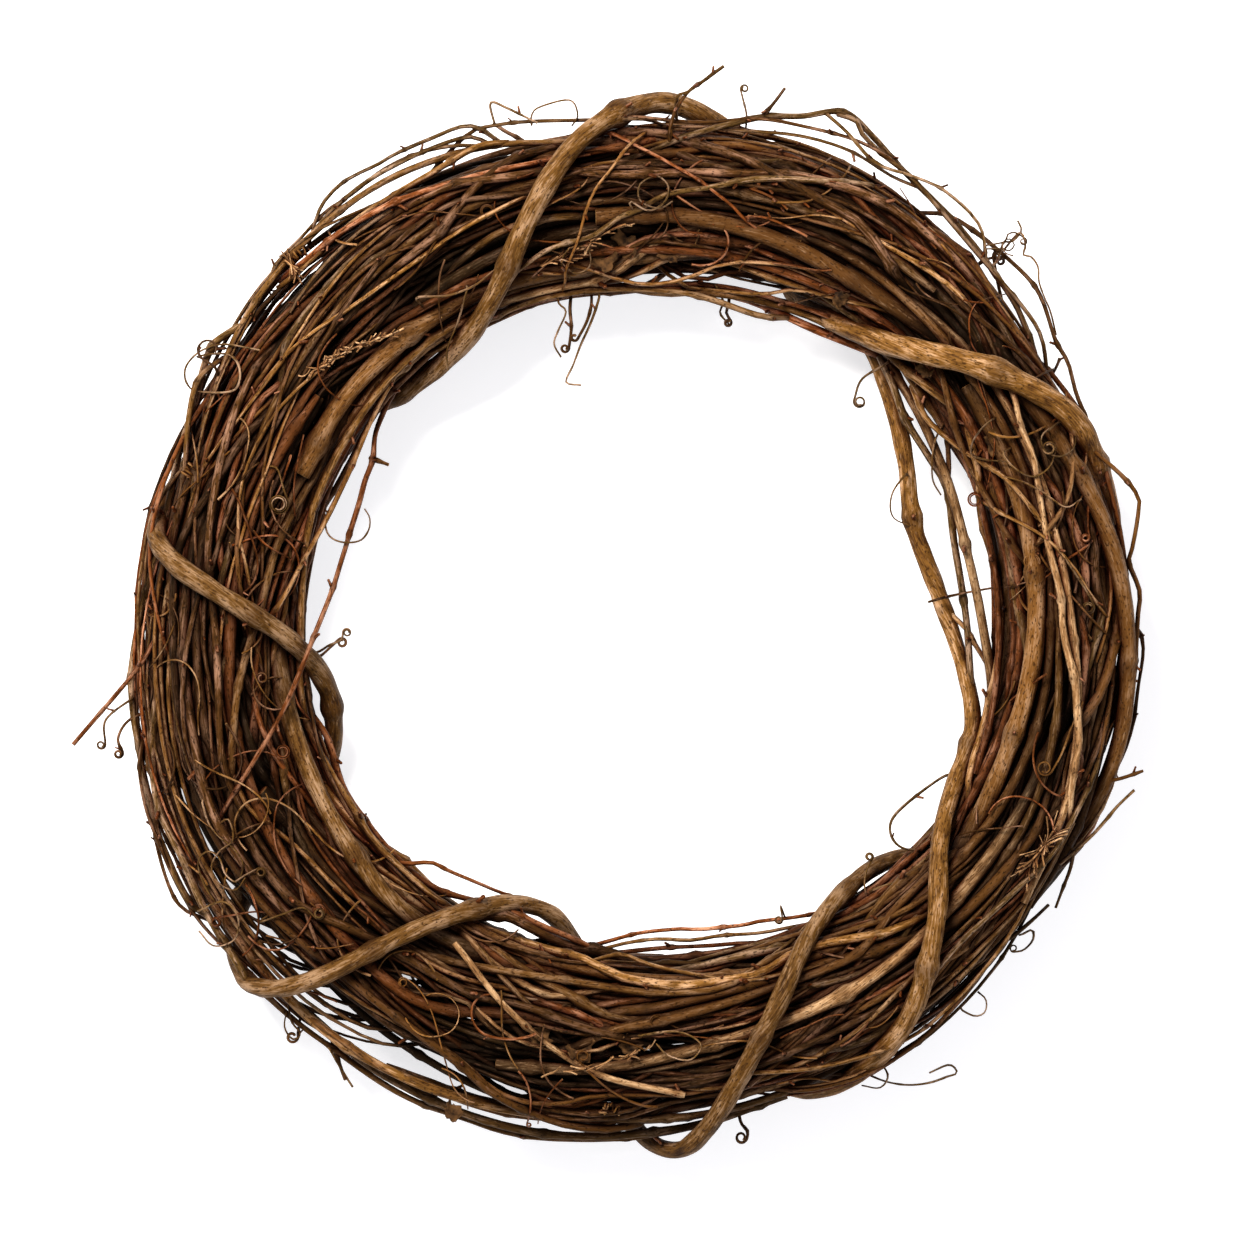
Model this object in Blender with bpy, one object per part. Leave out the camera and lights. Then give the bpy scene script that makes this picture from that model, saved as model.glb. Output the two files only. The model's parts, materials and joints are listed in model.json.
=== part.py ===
"""A grapevine wreath lying on its back: long canes coiled into a ring, bound by two thick canes.

Lengths are in millimetres until a shape is made, and angles in degrees, counterclockwise from +X.
A place on the wreath is given as (angle round the ring, distance from the ring's centre, height).
"""

import itertools
import math
import random

import bmesh
import bpy
import numpy as np

MM = 0.001

# The ring's centre lies off the origin, because the longest stray twig reaches out to the left.
RING_CENTRE = (14.9, -4.9)

# The ring's outline, at every 30 degrees from 0.
OUTER_EDGE = (214, 217, 228, 224, 227, 217, 217, 229, 231, 227, 218, 219)
INNER_EDGE = (163, 161, 159, 149, 150, 147, 148, 147, 143, 139, 149, 160)
BUNDLE_BOTTOM = 8.4
BUNDLE_TOP = 72.0
MIDDLE_HEIGHT = (BUNDLE_BOTTOM + BUNDLE_TOP) / 2

# Canes that follow the ring have a point at each station, so neighbours bend at the same places.
STATIONS = 30
STEP = 360 / STATIONS
CLEARANCE = 0.55

# A binding cane beds this deep where it passes under the ring, and is cut flat there.
FOOT_DEPTH = 1.2

# How the canes find room beside each other: they are drawn home and straightened less and less, and
# only pushed apart in the last turns. Shares are the places along a stretch where two are compared.
SETTLING_TURNS = 420
FREE_SHARE = 0.45
LAID_PULL = 0.12
COILED_PULL = 0.02
STRAIGHTENING = 0.3
PUSH_OFF_BINDING = 0.7
PUSH_OFF_NEIGHBOUR = 0.45
PUSH_OUT_OF_GAP = 0.5
SHARES = tuple(i / 8 for i in range(8))
ANGLE_MARGIN = 3

# Places where the floor shows between the canes: the angles and the distances that they run over.
SEE_THROUGH = ((234, 254, 180, 193), (276, 294, 167, 175))

# The canes that fill the bundle: how they spread from its middle, how far they wander from their
# place in its section as shares of its size, their stations, their radius and what is left of it at the end.
COILED_CANES = 32
COILED_SEED = 11
CROWDING = 0.4
WANDER_SIDEWAYS = 0.42
WANDER_UP = 0.34
FEWEST_STATIONS = 22
COILED_RADII = (2.1, 3.0)
COILED_TAPER = 0.74
COILED_BARKS = ("red_brown_bark", "dark_bark", "red_brown_bark", "grey_brown_bark", "tan_bark")
GOLDEN_ANGLE = math.pi * (3 - math.sqrt(5))

BARKS = {
    "tan_bark": ((0.33, 0.20, 0.105), 0.72),
    "red_brown_bark": ((0.21, 0.095, 0.045), 0.62),
    "dark_bark": ((0.115, 0.065, 0.038), 0.75),
    "grey_brown_bark": ((0.235, 0.165, 0.11), 0.80),
    "pale_bark": ((0.45, 0.33, 0.20), 0.70),
}

# Canes that show on top or at the edges: bark, radius at each end, first station's angle, then
# (distance, height) at each station.
LAID_CANES = {
    "top_cut_cane": ("tan_bark", 3.4, 3.7, 24, (
        (190, 54), (186, 62), (181, 67.5), (180.5, 69), (181, 70), (182, 70), (180, 69.5))),
    "right_cane": ("tan_bark", 3.9, 4.2, 312, (
        (180, 52), (177, 61), (175.5, 66), (175, 67.5), (176.5, 68), (175.5, 68), (177, 66), (184, 60))),
    "lower_left_cane": ("tan_bark", 3.8, 4.0, 168, (
        (157, 52), (153, 60), (153.5, 63), (156, 65.5), (161, 67), (164, 67), (160, 62), (157, 56),
        (154, 48))),
    "inner_top_cane": ("tan_bark", 3.6, 4.3, 60, (
        (180, 49), (171, 55), (161, 58), (157.5, 60), (157, 61), (158, 62), (161, 64), (165.5, 65),
        (164, 63))),
    "ochre_cane": ("tan_bark", 3.2, 3.3, 84, (
        (175, 57), (177, 60), (176.5, 63), (174, 64), (170, 58), (168, 50))),
    "broken_cane": ("tan_bark", 4.7, 4.2, 204, (
        (184, 62), (169.5, 57), (157.5, 52), (153, 47), (150, 41))),
    "outer_right_cane": ("tan_bark", 3.4, 3.8, 324, (
        (211, 36), (219, 43), (227.5, 52), (222.5, 60), (213, 66), (202, 68), (198, 66))),
    "pale_cane": ("pale_bark", 2.7, 3.0, 252, (
        (203, 60), (197.5, 66), (186, 70), (182, 71), (186, 71), (187.5, 71), (188.5, 70), (190, 66),
        (192, 58))),
    "pale_thin_cane": ("pale_bark", 1.7, 2.0, 324, (
        (210, 63), (207, 68), (199, 71.5), (188, 72), (183.5, 72), (188, 71.5), (193.5, 70), (187, 70),
        (183, 60))),
    "curved_twig": ("pale_bark", 1.9, 1.6, 240, (
        (161, 70), (184, 72), (207, 69), (209, 66))),
    "outer_top_bow": ("grey_brown_bark", 1.7, 1.4, 96, (
        (214, 58), (226, 51), (234, 50), (229, 50), (223, 50), (211, 57))),
    "outer_lower_bow": ("grey_brown_bark", 2.0, 1.8, 228, (
        (226, 38), (233, 40), (234, 42), (231, 42), (226, 40), (219, 38))),
    "inner_top_bow": ("red_brown_bark", 1.9, 1.7, 48, (
        (165, 38), (159, 41), (154, 44), (151, 45), (148, 46), (148.5, 46), (151, 44), (151, 42))),
    "inner_left_bow": ("red_brown_bark", 1.9, 1.7, 120, (
        (160, 50), (154, 50), (148.5, 50), (146, 52), (152, 55), (160, 58))),
    "gap_cane": ("pale_bark", 2.2, 2.0, 336, (
        (166, 40), (158.5, 42), (148, 44), (145.5, 45), (149, 45), (153, 45), (162, 42))),
    "gap_twig": ("red_brown_bark", 1.6, 1.5, 336, (
        (164, 52), (160, 53), (158.5, 52), (159, 50), (161.5, 50), (165, 50))),
}

# The binding canes wind round the bundle. "wound" points are (angle, turn, stand-off), where turn is 0
# outside the ring, 90 on top, 180 at the hole and 270 underneath. "laid" points are plain places.
BINDING_CANE = (
    ("laid", 330, 198, 22), ("laid", 343, 206, 16), ("wound", 356, -52, -1), ("wound", 8, -30, -2),
    ("wound", 17.5, 2, -4), ("wound", 26, 42, -1), ("wound", 36.5, 90, 0), ("wound", 48, 135, -1),
    ("wound", 57, 172, -7), ("wound", 64.5, 228, 0), ("wound", 70.5, 270, 0), ("wound", 76, 308, 0),
    ("wound", 81, 338, -1.5), ("wound", 87.5, 362, 3), ("wound", 96.3, 405, 0.5), ("wound", 104.5, 450, 0),
    ("wound", 114, 495, 0), ("wound", 123.5, 532, -1), ("wound", 135, 556, -2), ("wound", 143, 592, -2),
    ("wound", 149.5, 630, 0), ("wound", 154.5, 660, -1), ("wound", 159.8, 686, -4), ("wound", 165, 712, -4),
    ("wound", 170.4, 748, -1), ("wound", 175.2, 802, 0), ("wound", 181, 850, 0), ("wound", 190, 893, 2),
    ("wound", 200.5, 920, 0.5), ("wound", 206, 950, 0), ("wound", 210.8, 990, 0), ("wound", 214.8, 1026, 0),
    ("wound", 218.2, 1055, -3), ("wound", 222.3, 1084, -0.5), ("wound", 226.2, 1125, 0), ("wound", 230.5, 1170, 0),
    ("wound", 237, 1215, 0), ("wound", 246.5, 1254, 3), ("wound", 255.5, 1280, 2), ("wound", 260, 1312, 0),
    ("wound", 264.2, 1350, 0), ("wound", 267.8, 1388, 0), ("wound", 271, 1418, 1), ("wound", 275, 1444, 4),
    ("wound", 280.3, 1485, 0), ("wound", 289, 1530, 0), ("wound", 299.5, 1575, 0), ("wound", 311, 1612, 0),
    ("wound", 319, 1656, 0), ("wound", 327.5, 1710, 0),
)
BINDING_RADII = ((330, 5.2), (20, 5.6), (100, 5.1), (170, 4.8), (230, 4.5), (290, 4.4), (328, 4.0))

SECOND_BINDING_CANE = (
    ("wound", 274, -112, 0), ("wound", 281, -78, 0), ("wound", 287.5, -40, -2), ("wound", 294, 2, -1.5),
    ("wound", 304.5, 45, 0), ("wound", 315, 90, 0), ("wound", 324.5, 135, 0), ("wound", 334, 168, 0),
    ("laid", 343, 156, 42), ("laid", 350, 149, 37), ("laid", 358, 141, 35), ("laid", 8, 134, 35),
    ("laid", 20, 131, 36), ("laid", 30, 139, 36), ("laid", 40, 150, 34), ("laid", 49, 161, 30),
    ("laid", 56, 170, 26), ("laid", 64, 176, 24),
)
SECOND_RADII = ((274, 4.6), (300, 4.9), (325, 4.5), (350, 3.7), (20, 4.1), (64, 3.8))

# Twigs that cross the ring or stand out of it, as plain places.
TWIGS = {
    "crossing_twig": ("red_brown_bark", 1.5, 1.2, (
        (132, 152, 47), (141, 146.5, 47), (150, 138, 49), (159, 133.5, 51), (168, 134, 54), (176, 137.5, 60),
        (183, 143.5, 66), (188, 150, 70), (194, 161.5, 72), (199, 177, 73), (203, 194, 70), (206, 208, 63))),
    "kinked_twig": ("grey_brown_bark", 1.8, 1.6, (
        (93, 203, 60), (84, 217, 62), (78, 228, 62), (72, 236, 60), (67.3, 245.5, 58), (63, 237.5, 57),
        (58, 231.5, 56), (50, 225.5, 55), (41, 220.5, 54), (33, 211, 53))),
    "long_stray_twig": ("red_brown_bark", 1.6, 1.1, (
        (168, 186, 52.2), (174, 197, 51.4), (179, 208, 51.5), (184, 219, 54), (188, 234.5, 54),
        (191, 249.5, 54), (192.8, 260, 53))),
}

# Tendrils and spurs: angle, side, radius, places along the ring, outward and up from the cane that they
# grow from, then the curl's radius and its turns.
TENDRILS = (
    (282.5, "outer", 0.75, ((0, 5, 1), (2, 9, 3), (1, 12, 5)), 3.0, 1.1),
    (229.5, "outer", 0.75, ((3, 5, 1), (6, 9, 2)), 2.6, 0.9),
    (234, "outer", 1.0, ((5, 4, 2), (11, 8, 4), (17, 12, 5)), 0, 0),
    (189.5, "outer", 0.75, ((0, 7, 1), (3, 13, 2), (9, 17, 3), (15, 16, 3)), 1.8, 1.2),
    (150, "outer", 0.7, ((-3, 4, 5), (-3, 9, 8)), 6.0, 0.75),
    (102, "outer", 1.1, ((4, 4, 3), (9, 8, 4), (14, 13, 5)), 0, 0),
    (39, "outer", 0.9, ((6, 4, 4), (16, 9, 6), (25, 14, 7)), 2.2, 1.2),
    (46.5, "outer", 0.9, ((-1, 5, 2), (-2, 11, 4), (-6, 16, 5)), 1.8, 0.9),
    (30, "outer", 0.9, ((1, 4, 2), (3, 8, 4), (6, 12, 5)), 0, 0),
    (341, "outer", 0.9, ((3, 5, 4), (6, 9, 6), (10, 14, 7)), 0, 0),
    (101.5, "inner", 0.8, ((2, 7, 0), (3, 15, 0), (6, 24, -1)), 1.8, 1.1),
    (97.5, "inner", 0.8, ((1, 7, 2), (4, 14, 3), (9, 21, 3)), 1.6, 0.8),
    (74, "inner", 0.75, ((-1, 4, 1), (-1, 8, 1), (-4, 11, 1)), 1.6, 1.0),
    (186, "inner", 0.75, ((-2, 9, 6), (-6, 15, 7), (-9, 19, 7)), 2.0, 1.2),
)
# Side twigs that grow from one of the crossing twigs: its name, radii, and plain places.
SIDE_TWIGS = (
    ("kinked_twig", 0.9, 0.7, ((86.3, 213.5, 61.7), (86, 224, 65), (84.5, 236.5, 67), (82.8, 243, 68),
                               (81.2, 249.6, 69))),
    ("kinked_twig", 1.0, 0.8, ((76.3, 230.5, 61.8), (75.3, 238.5, 63), (74.6, 246, 64))),
    ("crossing_twig", 0.9, 0.8, ((148, 140, 49), (147.5, 134.5, 51), (147.2, 131, 52))),
)
TWIG_SPACING = 16.0
SIDE_TWIG_SPACING = 7.0
TENDRIL_SPACING = 3.4
CURL_POINTS = 9


def around(values, angle):
    """A smooth value between those given at even steps round the whole ring."""
    place = angle % 360 / 360 * len(values)
    whole = int(place)
    share = place - whole
    a, b, c, d = (values[(whole + i) % len(values)] for i in (-1, 0, 1, 2))
    slope_in, slope_out = (c - a) / 2, (d - b) / 2
    rise = c - b
    return b + share * (slope_in + share * (
        3 * rise - 2 * slope_in - slope_out + share * (slope_in + slope_out - 2 * rise)))


def ring_section(angle):
    """The bundle's middle distance and half its width at an angle."""
    outer, inner = around(OUTER_EDGE, angle), around(INNER_EDGE, angle)
    return (outer + inner) / 2, (outer - inner) / 2


def to_world(angle, distance, height):
    """A place on the wreath as a point in metres."""
    turn = math.radians(angle)
    x = RING_CENTRE[0] + distance * math.cos(turn)
    y = RING_CENTRE[1] + distance * math.sin(turn)
    return (x * MM, y * MM, height * MM)


def smooth_line(points, spacing):
    """Points an even spacing apart on a smooth curve through the given ones."""
    points = np.array(points, float)
    padded = np.vstack([2 * points[0] - points[1], points, 2 * points[-1] - points[-2]])
    fine = []
    for a, b, c, d in zip(padded, padded[1:], padded[2:], padded[3:]):
        for t in np.linspace(0, 1, 16, endpoint=False):
            fine.append(b + 0.5 * t * (c - a + t * (2 * a - 5 * b + 4 * c - d + t * (3 * (b - c) + d - a))))
    fine = np.array([*fine, points[-1]])
    run = np.concatenate([[0], np.cumsum(np.linalg.norm(np.diff(fine, axis=0), axis=1))])
    even = np.linspace(0, run[-1], max(2, round(run[-1] / spacing)) + 1)
    return np.stack([np.interp(even, run, fine[:, i]) for i in range(points.shape[1])], axis=1)


def from_polar(places):
    """Places on the wreath as points in millimetres from the ring's centre, in a list of three columns."""
    turns = np.radians([angle for angle, _, _ in places])
    distances, heights = np.array([p[1] for p in places]), np.array([p[2] for p in places])
    return np.column_stack([distances * np.cos(turns), distances * np.sin(turns), heights])


def wound_place(angle, turn, stand_off, radius):
    """The place of a cane's middle where it is pulled round the bundle."""
    middle, half_width = ring_section(angle)
    reach = radius + CLEARANCE / 2
    side, up = math.cos(math.radians(turn)), math.sin(math.radians(turn))
    half_height = BUNDLE_TOP - MIDDLE_HEIGHT
    height = MIDDLE_HEIGHT + (half_height + reach + stand_off) * up
    return angle, middle + (half_width + reach + stand_off) * side, max(height, radius - FOOT_DEPTH)


def radius_at(steps, angle):
    """A binding cane's radius at an angle, from (angle, radius) steps that run on past a full turn."""
    angles = np.unwrap(np.radians([a for a, _ in steps]))
    here = math.radians(angle)
    while here < angles[0] - 0.2:
        here += 2 * math.pi
    return float(np.interp(here, angles, [r for _, r in steps]))


def binding_line(route, radii, spacing):
    """The middle line of a binding cane in ring millimetres, and its radius at each point."""
    places = []
    for kind, angle, second, third in route:
        radius = radius_at(radii, angle)
        places.append((angle, second, third) if kind == "laid" else wound_place(angle, second, third, radius))
    turns = np.unwrap(np.radians([p[0] for p in places]))
    flat = [(r * math.cos(t), r * math.sin(t), h) for t, (_, r, h) in zip(turns, places)]
    line = smooth_line(flat, spacing)
    run = np.concatenate([[0], np.cumsum(np.linalg.norm(np.diff(flat, axis=0), axis=1))])
    known = [radius_at(radii, math.degrees(t)) for t in turns]
    share = np.linspace(0, run[-1], len(line))
    return line, np.interp(share, run, known)


class RingCane:
    """A cane that follows the ring: its first station, its (distance, height) at each, and its radii."""

    def __init__(self, name, bark, first, home, radii, free):
        self.name, self.bark, self.first, self.free = name, bark, first, free
        self.home = np.array(home, float)
        self.radii = np.array(radii, float)


def laid_canes():
    canes = []
    for name, (bark, start, end, angle, home) in LAID_CANES.items():
        radii = np.linspace(start, end, len(home))
        canes.append(RingCane(name, bark, round(angle / STEP), home, radii, True))
    return canes


def wander(rng, size):
    """A slow irregular wave round the ring, as a function of the turn in radians."""
    waves = [(cycles, rng.uniform(0.4, 1) * size / cycles ** 0.7, rng.uniform(0, 2 * math.pi))
             for cycles in (1, 2, 3, 5)]
    return lambda turn: sum(height * math.sin(cycles * turn + start) for cycles, height, start in waves)


def coiled_canes():
    """Canes spread evenly over the bundle's section, each wandering as it goes round."""
    rng = random.Random(COILED_SEED)
    canes = []
    for i in range(COILED_CANES):
        spread = ((i + 0.5) / COILED_CANES) ** CROWDING
        side, up = spread * math.cos(i * GOLDEN_ANGLE), spread * math.sin(i * GOLDEN_ANGLE)
        sideways, upwards = wander(rng, WANDER_SIDEWAYS), wander(rng, WANDER_UP)
        first, count = rng.randrange(STATIONS), rng.randint(FEWEST_STATIONS, STATIONS - 1)
        thick = rng.uniform(*COILED_RADII)
        home = []
        for station in range(first, first + count):
            turn = math.radians(station * STEP)
            middle, half_width = ring_section(station * STEP)
            home.append((middle + half_width * (side + sideways(turn)),
                         MIDDLE_HEIGHT + (BUNDLE_TOP - MIDDLE_HEIGHT) * (up + upwards(turn))))
        radii = np.linspace(thick, thick * COILED_TAPER, count)
        bark_name = COILED_BARKS[i % len(COILED_BARKS)]
        canes.append(RingCane(f"coiled_cane_{i + 1:02d}", bark_name, first, home, radii, False))
    return canes


def stretches_of(canes):
    """Each cane's stretches between stations: the first point's index, and the interval it crosses."""
    found, start = [], 0
    for cane in canes:
        found += [(start + i, (cane.first + i) % STATIONS) for i in range(len(cane.home) - 1)]
        start += len(cane.home)
    return found


def cane_pairs(stretches):
    """Every two stretches that cross the same interval."""
    by_interval = {}
    for point, interval in stretches:
        by_interval.setdefault(interval, []).append(point)
    pairs = [pair for points in by_interval.values() for pair in itertools.combinations(points, 2)]
    return np.array(pairs).T


def fixed_pairs(stretches, fixed):
    """Every stretch with each fixed point that lies beside it or just past its ends."""
    turns = np.degrees(np.arctan2(fixed[:, 1], fixed[:, 0])) % 360
    rows = []
    for point, interval in stretches:
        gap = (turns - (interval + 0.5) * STEP + 180) % 360 - 180
        rows += [(point, near) for near in np.flatnonzero(abs(gap) < STEP / 2 + ANGLE_MARGIN)]
    return np.array(rows).T


def push_apart(points, radii, pairs):
    """Moves pairs of stretches apart, in the ring's section, until they only nearly touch."""
    first, second = pairs
    for share in SHARES:
        at_first = (1 - share) * points[first] + share * points[first + 1]
        at_second = (1 - share) * points[second] + share * points[second + 1]
        reach = ((1 - share) * (radii[first] + radii[second])
                 + share * (radii[first + 1] + radii[second + 1]) + CLEARANCE)
        apart = at_first - at_second
        length = np.maximum(np.linalg.norm(apart, axis=1), 1e-6)
        short = np.maximum(reach - length, 0) * PUSH_OFF_NEIGHBOUR / ((1 - share) ** 2 + share ** 2)
        move = (short / 2 / length)[:, None] * apart
        for index, part in ((first, 1), (second, -1)):
            np.add.at(points, index, part * (1 - share) * move)
            np.add.at(points, index + 1, part * share * move)


def push_off_fixed(points, radii, outward, pairs, fixed, fixed_radii):
    """Moves stretches clear of the binding canes and twigs, which stay where they are."""
    stretch, near = pairs
    start = np.column_stack([points[stretch, :1] * outward[stretch], points[stretch, 1]])
    end = np.column_stack([points[stretch + 1, :1] * outward[stretch + 1], points[stretch + 1, 1]])
    along = end - start
    share = np.sum((fixed[near] - start) * along, axis=1) / np.sum(along ** 2, axis=1)
    share = np.clip(share, 0, 1)
    apart = start + share[:, None] * along - fixed[near]
    length = np.maximum(np.linalg.norm(apart, axis=1), 1e-6)
    reach = (1 - share) * radii[stretch] + share * radii[stretch + 1] + fixed_radii[near] + CLEARANCE
    short = np.maximum(reach - length, 0) * PUSH_OFF_BINDING / ((1 - share) ** 2 + share ** 2)
    worst = np.zeros(len(points))
    np.maximum.at(worst, stretch, short)
    keep = (short > 0) & (short >= worst[stretch] - 1e-9)
    stretch, share, move = stretch[keep], share[keep], (short / length)[keep, None] * apart[keep]
    for index, part in ((stretch, 1 - share), (stretch + 1, share)):
        sideways = np.sum(move[:, :2] * outward[index], axis=1)
        np.add.at(points, index, part[:, None] * np.column_stack([sideways, move[:, 2]]))


def clear_gaps(points, radii, angles, strength):
    """Moves canes sideways out of the places where the floor shows."""
    for first, last, near, far in SEE_THROUGH:
        middle, half = (near + far) / 2, (far - near) / 2
        aside = points[:, 0] - middle
        inside = (angles % 360 > first) & (angles % 360 < last) & (abs(aside) < half + radii)
        edge = middle + np.where(aside > 0, 1, -1) * (half + radii)
        points[inside, 0] += strength * PUSH_OUT_OF_GAP * (edge - points[:, 0])[inside]


def settle(canes, fixed, fixed_radii):
    """Lets the canes that follow the ring find room beside each other, near their own homes."""
    home = np.vstack([cane.home for cane in canes])
    radii = np.concatenate([cane.radii for cane in canes])
    free = np.concatenate([[cane.free] * len(cane.home) for cane in canes])
    angles = np.concatenate([(cane.first + np.arange(len(cane.home))) * STEP for cane in canes])
    sections = np.array([ring_section(angle) for angle in angles])
    stretches = stretches_of(canes)
    pairs = cane_pairs(stretches)
    near_fixed = fixed_pairs(stretches, fixed)
    outward = np.column_stack([np.cos(np.radians(angles)), np.sin(np.radians(angles))])
    inner = np.ones(len(home), bool)
    ends = np.cumsum([len(cane.home) for cane in canes])
    inner[ends - 1] = inner[np.concatenate([[0], ends[:-1]])] = False
    inner = np.flatnonzero(inner)
    pull = np.where(free, LAID_PULL, COILED_PULL)[:, None]
    middle = np.stack([sections[:, 0], np.full(len(home), MIDDLE_HEIGHT)], axis=1)
    reach = np.stack([sections[:, 1], np.full(len(home), BUNDLE_TOP - MIDDLE_HEIGHT)], axis=1)
    points = home.copy()
    for turn in range(SETTLING_TURNS):
        easing = max(0.0, 1 - turn / ((1 - FREE_SHARE) * SETTLING_TURNS))
        points += pull * easing * (home - points)
        halfway = (points[inner - 1] + points[inner + 1]) / 2
        points[inner] += STRAIGHTENING * easing * (halfway - points[inner])
        push_off_fixed(points, radii, outward, near_fixed, fixed, fixed_radii)
        push_apart(points, radii, pairs)
        clear_gaps(points, radii, angles, easing)
        size = np.maximum(reach - radii[:, None], 1)
        spread = np.linalg.norm((points - middle) / size, axis=1)
        outside = (spread > 1) & ~free & (easing > 0)
        points[outside] = middle[outside] + (points - middle)[outside] / spread[outside, None]
    start = 0
    for cane in canes:
        cane.line = points[start:start + len(cane.home)]
        start += len(cane.home)




def bark(name):
    """The Principled material of one bark, made once."""
    if name in bpy.data.materials:
        return bpy.data.materials[name]
    colour, roughness = BARKS[name]
    material = bpy.data.materials.new(name)
    material.use_nodes = True
    shader = material.node_tree.nodes["Principled BSDF"]
    shader.inputs["Base Color"].default_value = (*colour, 1)
    shader.inputs["Roughness"].default_value = roughness
    shader.inputs["Metallic"].default_value = 0
    return material


def tube(name, points, radii, bark_name, bevel_resolution, collection):
    """A curve object with round section and closed ends, through points in metres; radii are in mm."""
    curve = bpy.data.curves.new(name, "CURVE")
    curve.dimensions = "3D"
    curve.bevel_depth = MM
    curve.bevel_resolution = bevel_resolution
    curve.use_fill_caps = True
    spline = curve.splines.new("POLY")
    spline.points.add(len(points) - 1)
    for spot, place, radius in zip(spline.points, points, radii):
        spot.co = (*place, 1)
        spot.radius = radius
    curve.materials.append(bark(bark_name))
    made = bpy.data.objects.new(name, curve)
    collection.objects.link(made)
    return made


def as_mesh(made):
    """The same object as a mesh with its caps welded, ready for a Boolean."""
    bpy.context.view_layer.update()
    graph = bpy.context.evaluated_depsgraph_get()
    mesh = bpy.data.meshes.new_from_object(made.evaluated_get(graph))
    shape = bmesh.new()
    shape.from_mesh(mesh)
    bmesh.ops.remove_doubles(shape, verts=shape.verts, dist=1e-6)
    bmesh.ops.recalc_face_normals(shape, faces=shape.faces)
    shape.to_mesh(mesh)
    shape.free()
    mesh.shade_smooth()
    name, collection = made.name, made.users_collection[0]
    bpy.data.objects.remove(made)
    solid = bpy.data.objects.new(name, mesh)
    collection.objects.link(solid)
    return solid


def apply_boolean(solid, operation, operand):
    """Cuts operand from a solid, or joins a whole collection to it, and keeps the result as its mesh."""
    modifier = solid.modifiers.new(operation.lower(), "BOOLEAN")
    modifier.operation = operation
    modifier.solver = "EXACT"
    if operation == "UNION":
        modifier.operand_type = "COLLECTION"
        modifier.collection = operand
    else:
        modifier.object = operand
    bpy.context.view_layer.update()
    graph = bpy.context.evaluated_depsgraph_get()
    mesh = bpy.data.meshes.new_from_object(solid.evaluated_get(graph))
    solid.modifiers.clear()
    solid.data = mesh


def floor_cutter(collection):
    """A slab below height 0 that takes the small flats under the binding cane's loops."""
    bpy.ops.mesh.primitive_cube_add(size=1, location=(0, 0, -0.02))
    slab = bpy.context.object
    slab.name = "floor_cutter"
    slab.scale = (0.7, 0.7, 0.04)
    bpy.ops.object.transform_apply(location=False, rotation=False, scale=True)
    for owner in list(slab.users_collection):
        owner.objects.unlink(slab)
    collection.objects.link(slab)
    slab.hide_render = True
    slab.display_type = "WIRE"
    return slab


def host_of(angle, side, canes):
    """The ring cane that lies furthest to one side at an angle, and its place there."""
    best = None
    for cane in canes:
        place = (angle / STEP - cane.first) % STATIONS
        if place >= len(cane.line) - 1:
            continue
        whole = int(place)
        distance, height = cane.line[whole] + (place - whole) * (cane.line[whole + 1] - cane.line[whole])
        reach = distance if side == "outer" else -distance
        if best is None or reach > best[0]:
            best = (reach, cane, distance, height)
    return best[1:]


def tendril_line(angle, side, steps, curl_radius, turns, distance, height):
    """A tendril's middle line in ring millimetres: out from the cane, then round in a shrinking curl."""
    turn = math.radians(angle)
    outward = np.array([math.cos(turn), math.sin(turn), 0]) * (1 if side == "outer" else -1)
    along = np.array([-math.sin(turn), math.cos(turn), 0])
    root = np.array([distance * math.cos(turn), distance * math.sin(turn), height])
    places = [root] + [root + a * along + o * outward + u * np.array([0, 0, 1]) for a, o, u in steps]
    line = smooth_line(places, TENDRIL_SPACING)
    if not curl_radius:
        return line
    heading = line[-1] - line[-2]
    heading /= np.linalg.norm(heading)
    aside = np.cross(heading, [0, 0, 1])
    centre = line[-1] + curl_radius * aside
    count = max(4, round(CURL_POINTS * turns))
    curl = []
    for i in range(1, count + 1):
        bend = 2 * math.pi * turns * i / count
        size = curl_radius * (1 - 0.45 * i / count)
        curl.append(centre + size * (math.sin(bend) * heading - math.cos(bend) * aside)
                    + np.array([0, 0, 2.2 * i / count]))
    return np.vstack([line, curl])


def line_to_world(line):
    return [((x + RING_CENTRE[0]) * MM, (y + RING_CENTRE[1]) * MM, z * MM) for x, y, z in line]


def join_shapes(solid, shapes, collection):
    """Fuses shapes that are rooted in a solid to it, and removes them."""
    joined = bpy.data.collections.new("joined")
    for shape in shapes:
        collection.objects.unlink(shape)
        joined.objects.link(shape)
    apply_boolean(solid, "UNION", joined)
    for shape in shapes:
        bpy.data.objects.remove(shape)
    bpy.data.collections.remove(joined)


def add_tendrils(canes, solids, collection):
    """Grows each tendril from the cane furthest out there, and fuses a cane's tendrils to it at once."""
    grown = {}
    for i, (angle, side, radius, steps, curl_radius, turns) in enumerate(TENDRILS):
        host, distance, height = host_of(angle, side, canes)
        line = tendril_line(angle, side, steps, curl_radius, turns, distance, height)
        radii = np.linspace(radius, radius * 0.7, len(line))
        shape = as_mesh(tube(f"tendril_{i:02d}", line_to_world(line), radii, host.bark, 0, collection))
        grown.setdefault(host.name, []).append(shape)
    for name, shapes in grown.items():
        join_shapes(as_mesh(solids[name]), shapes, collection)


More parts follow.
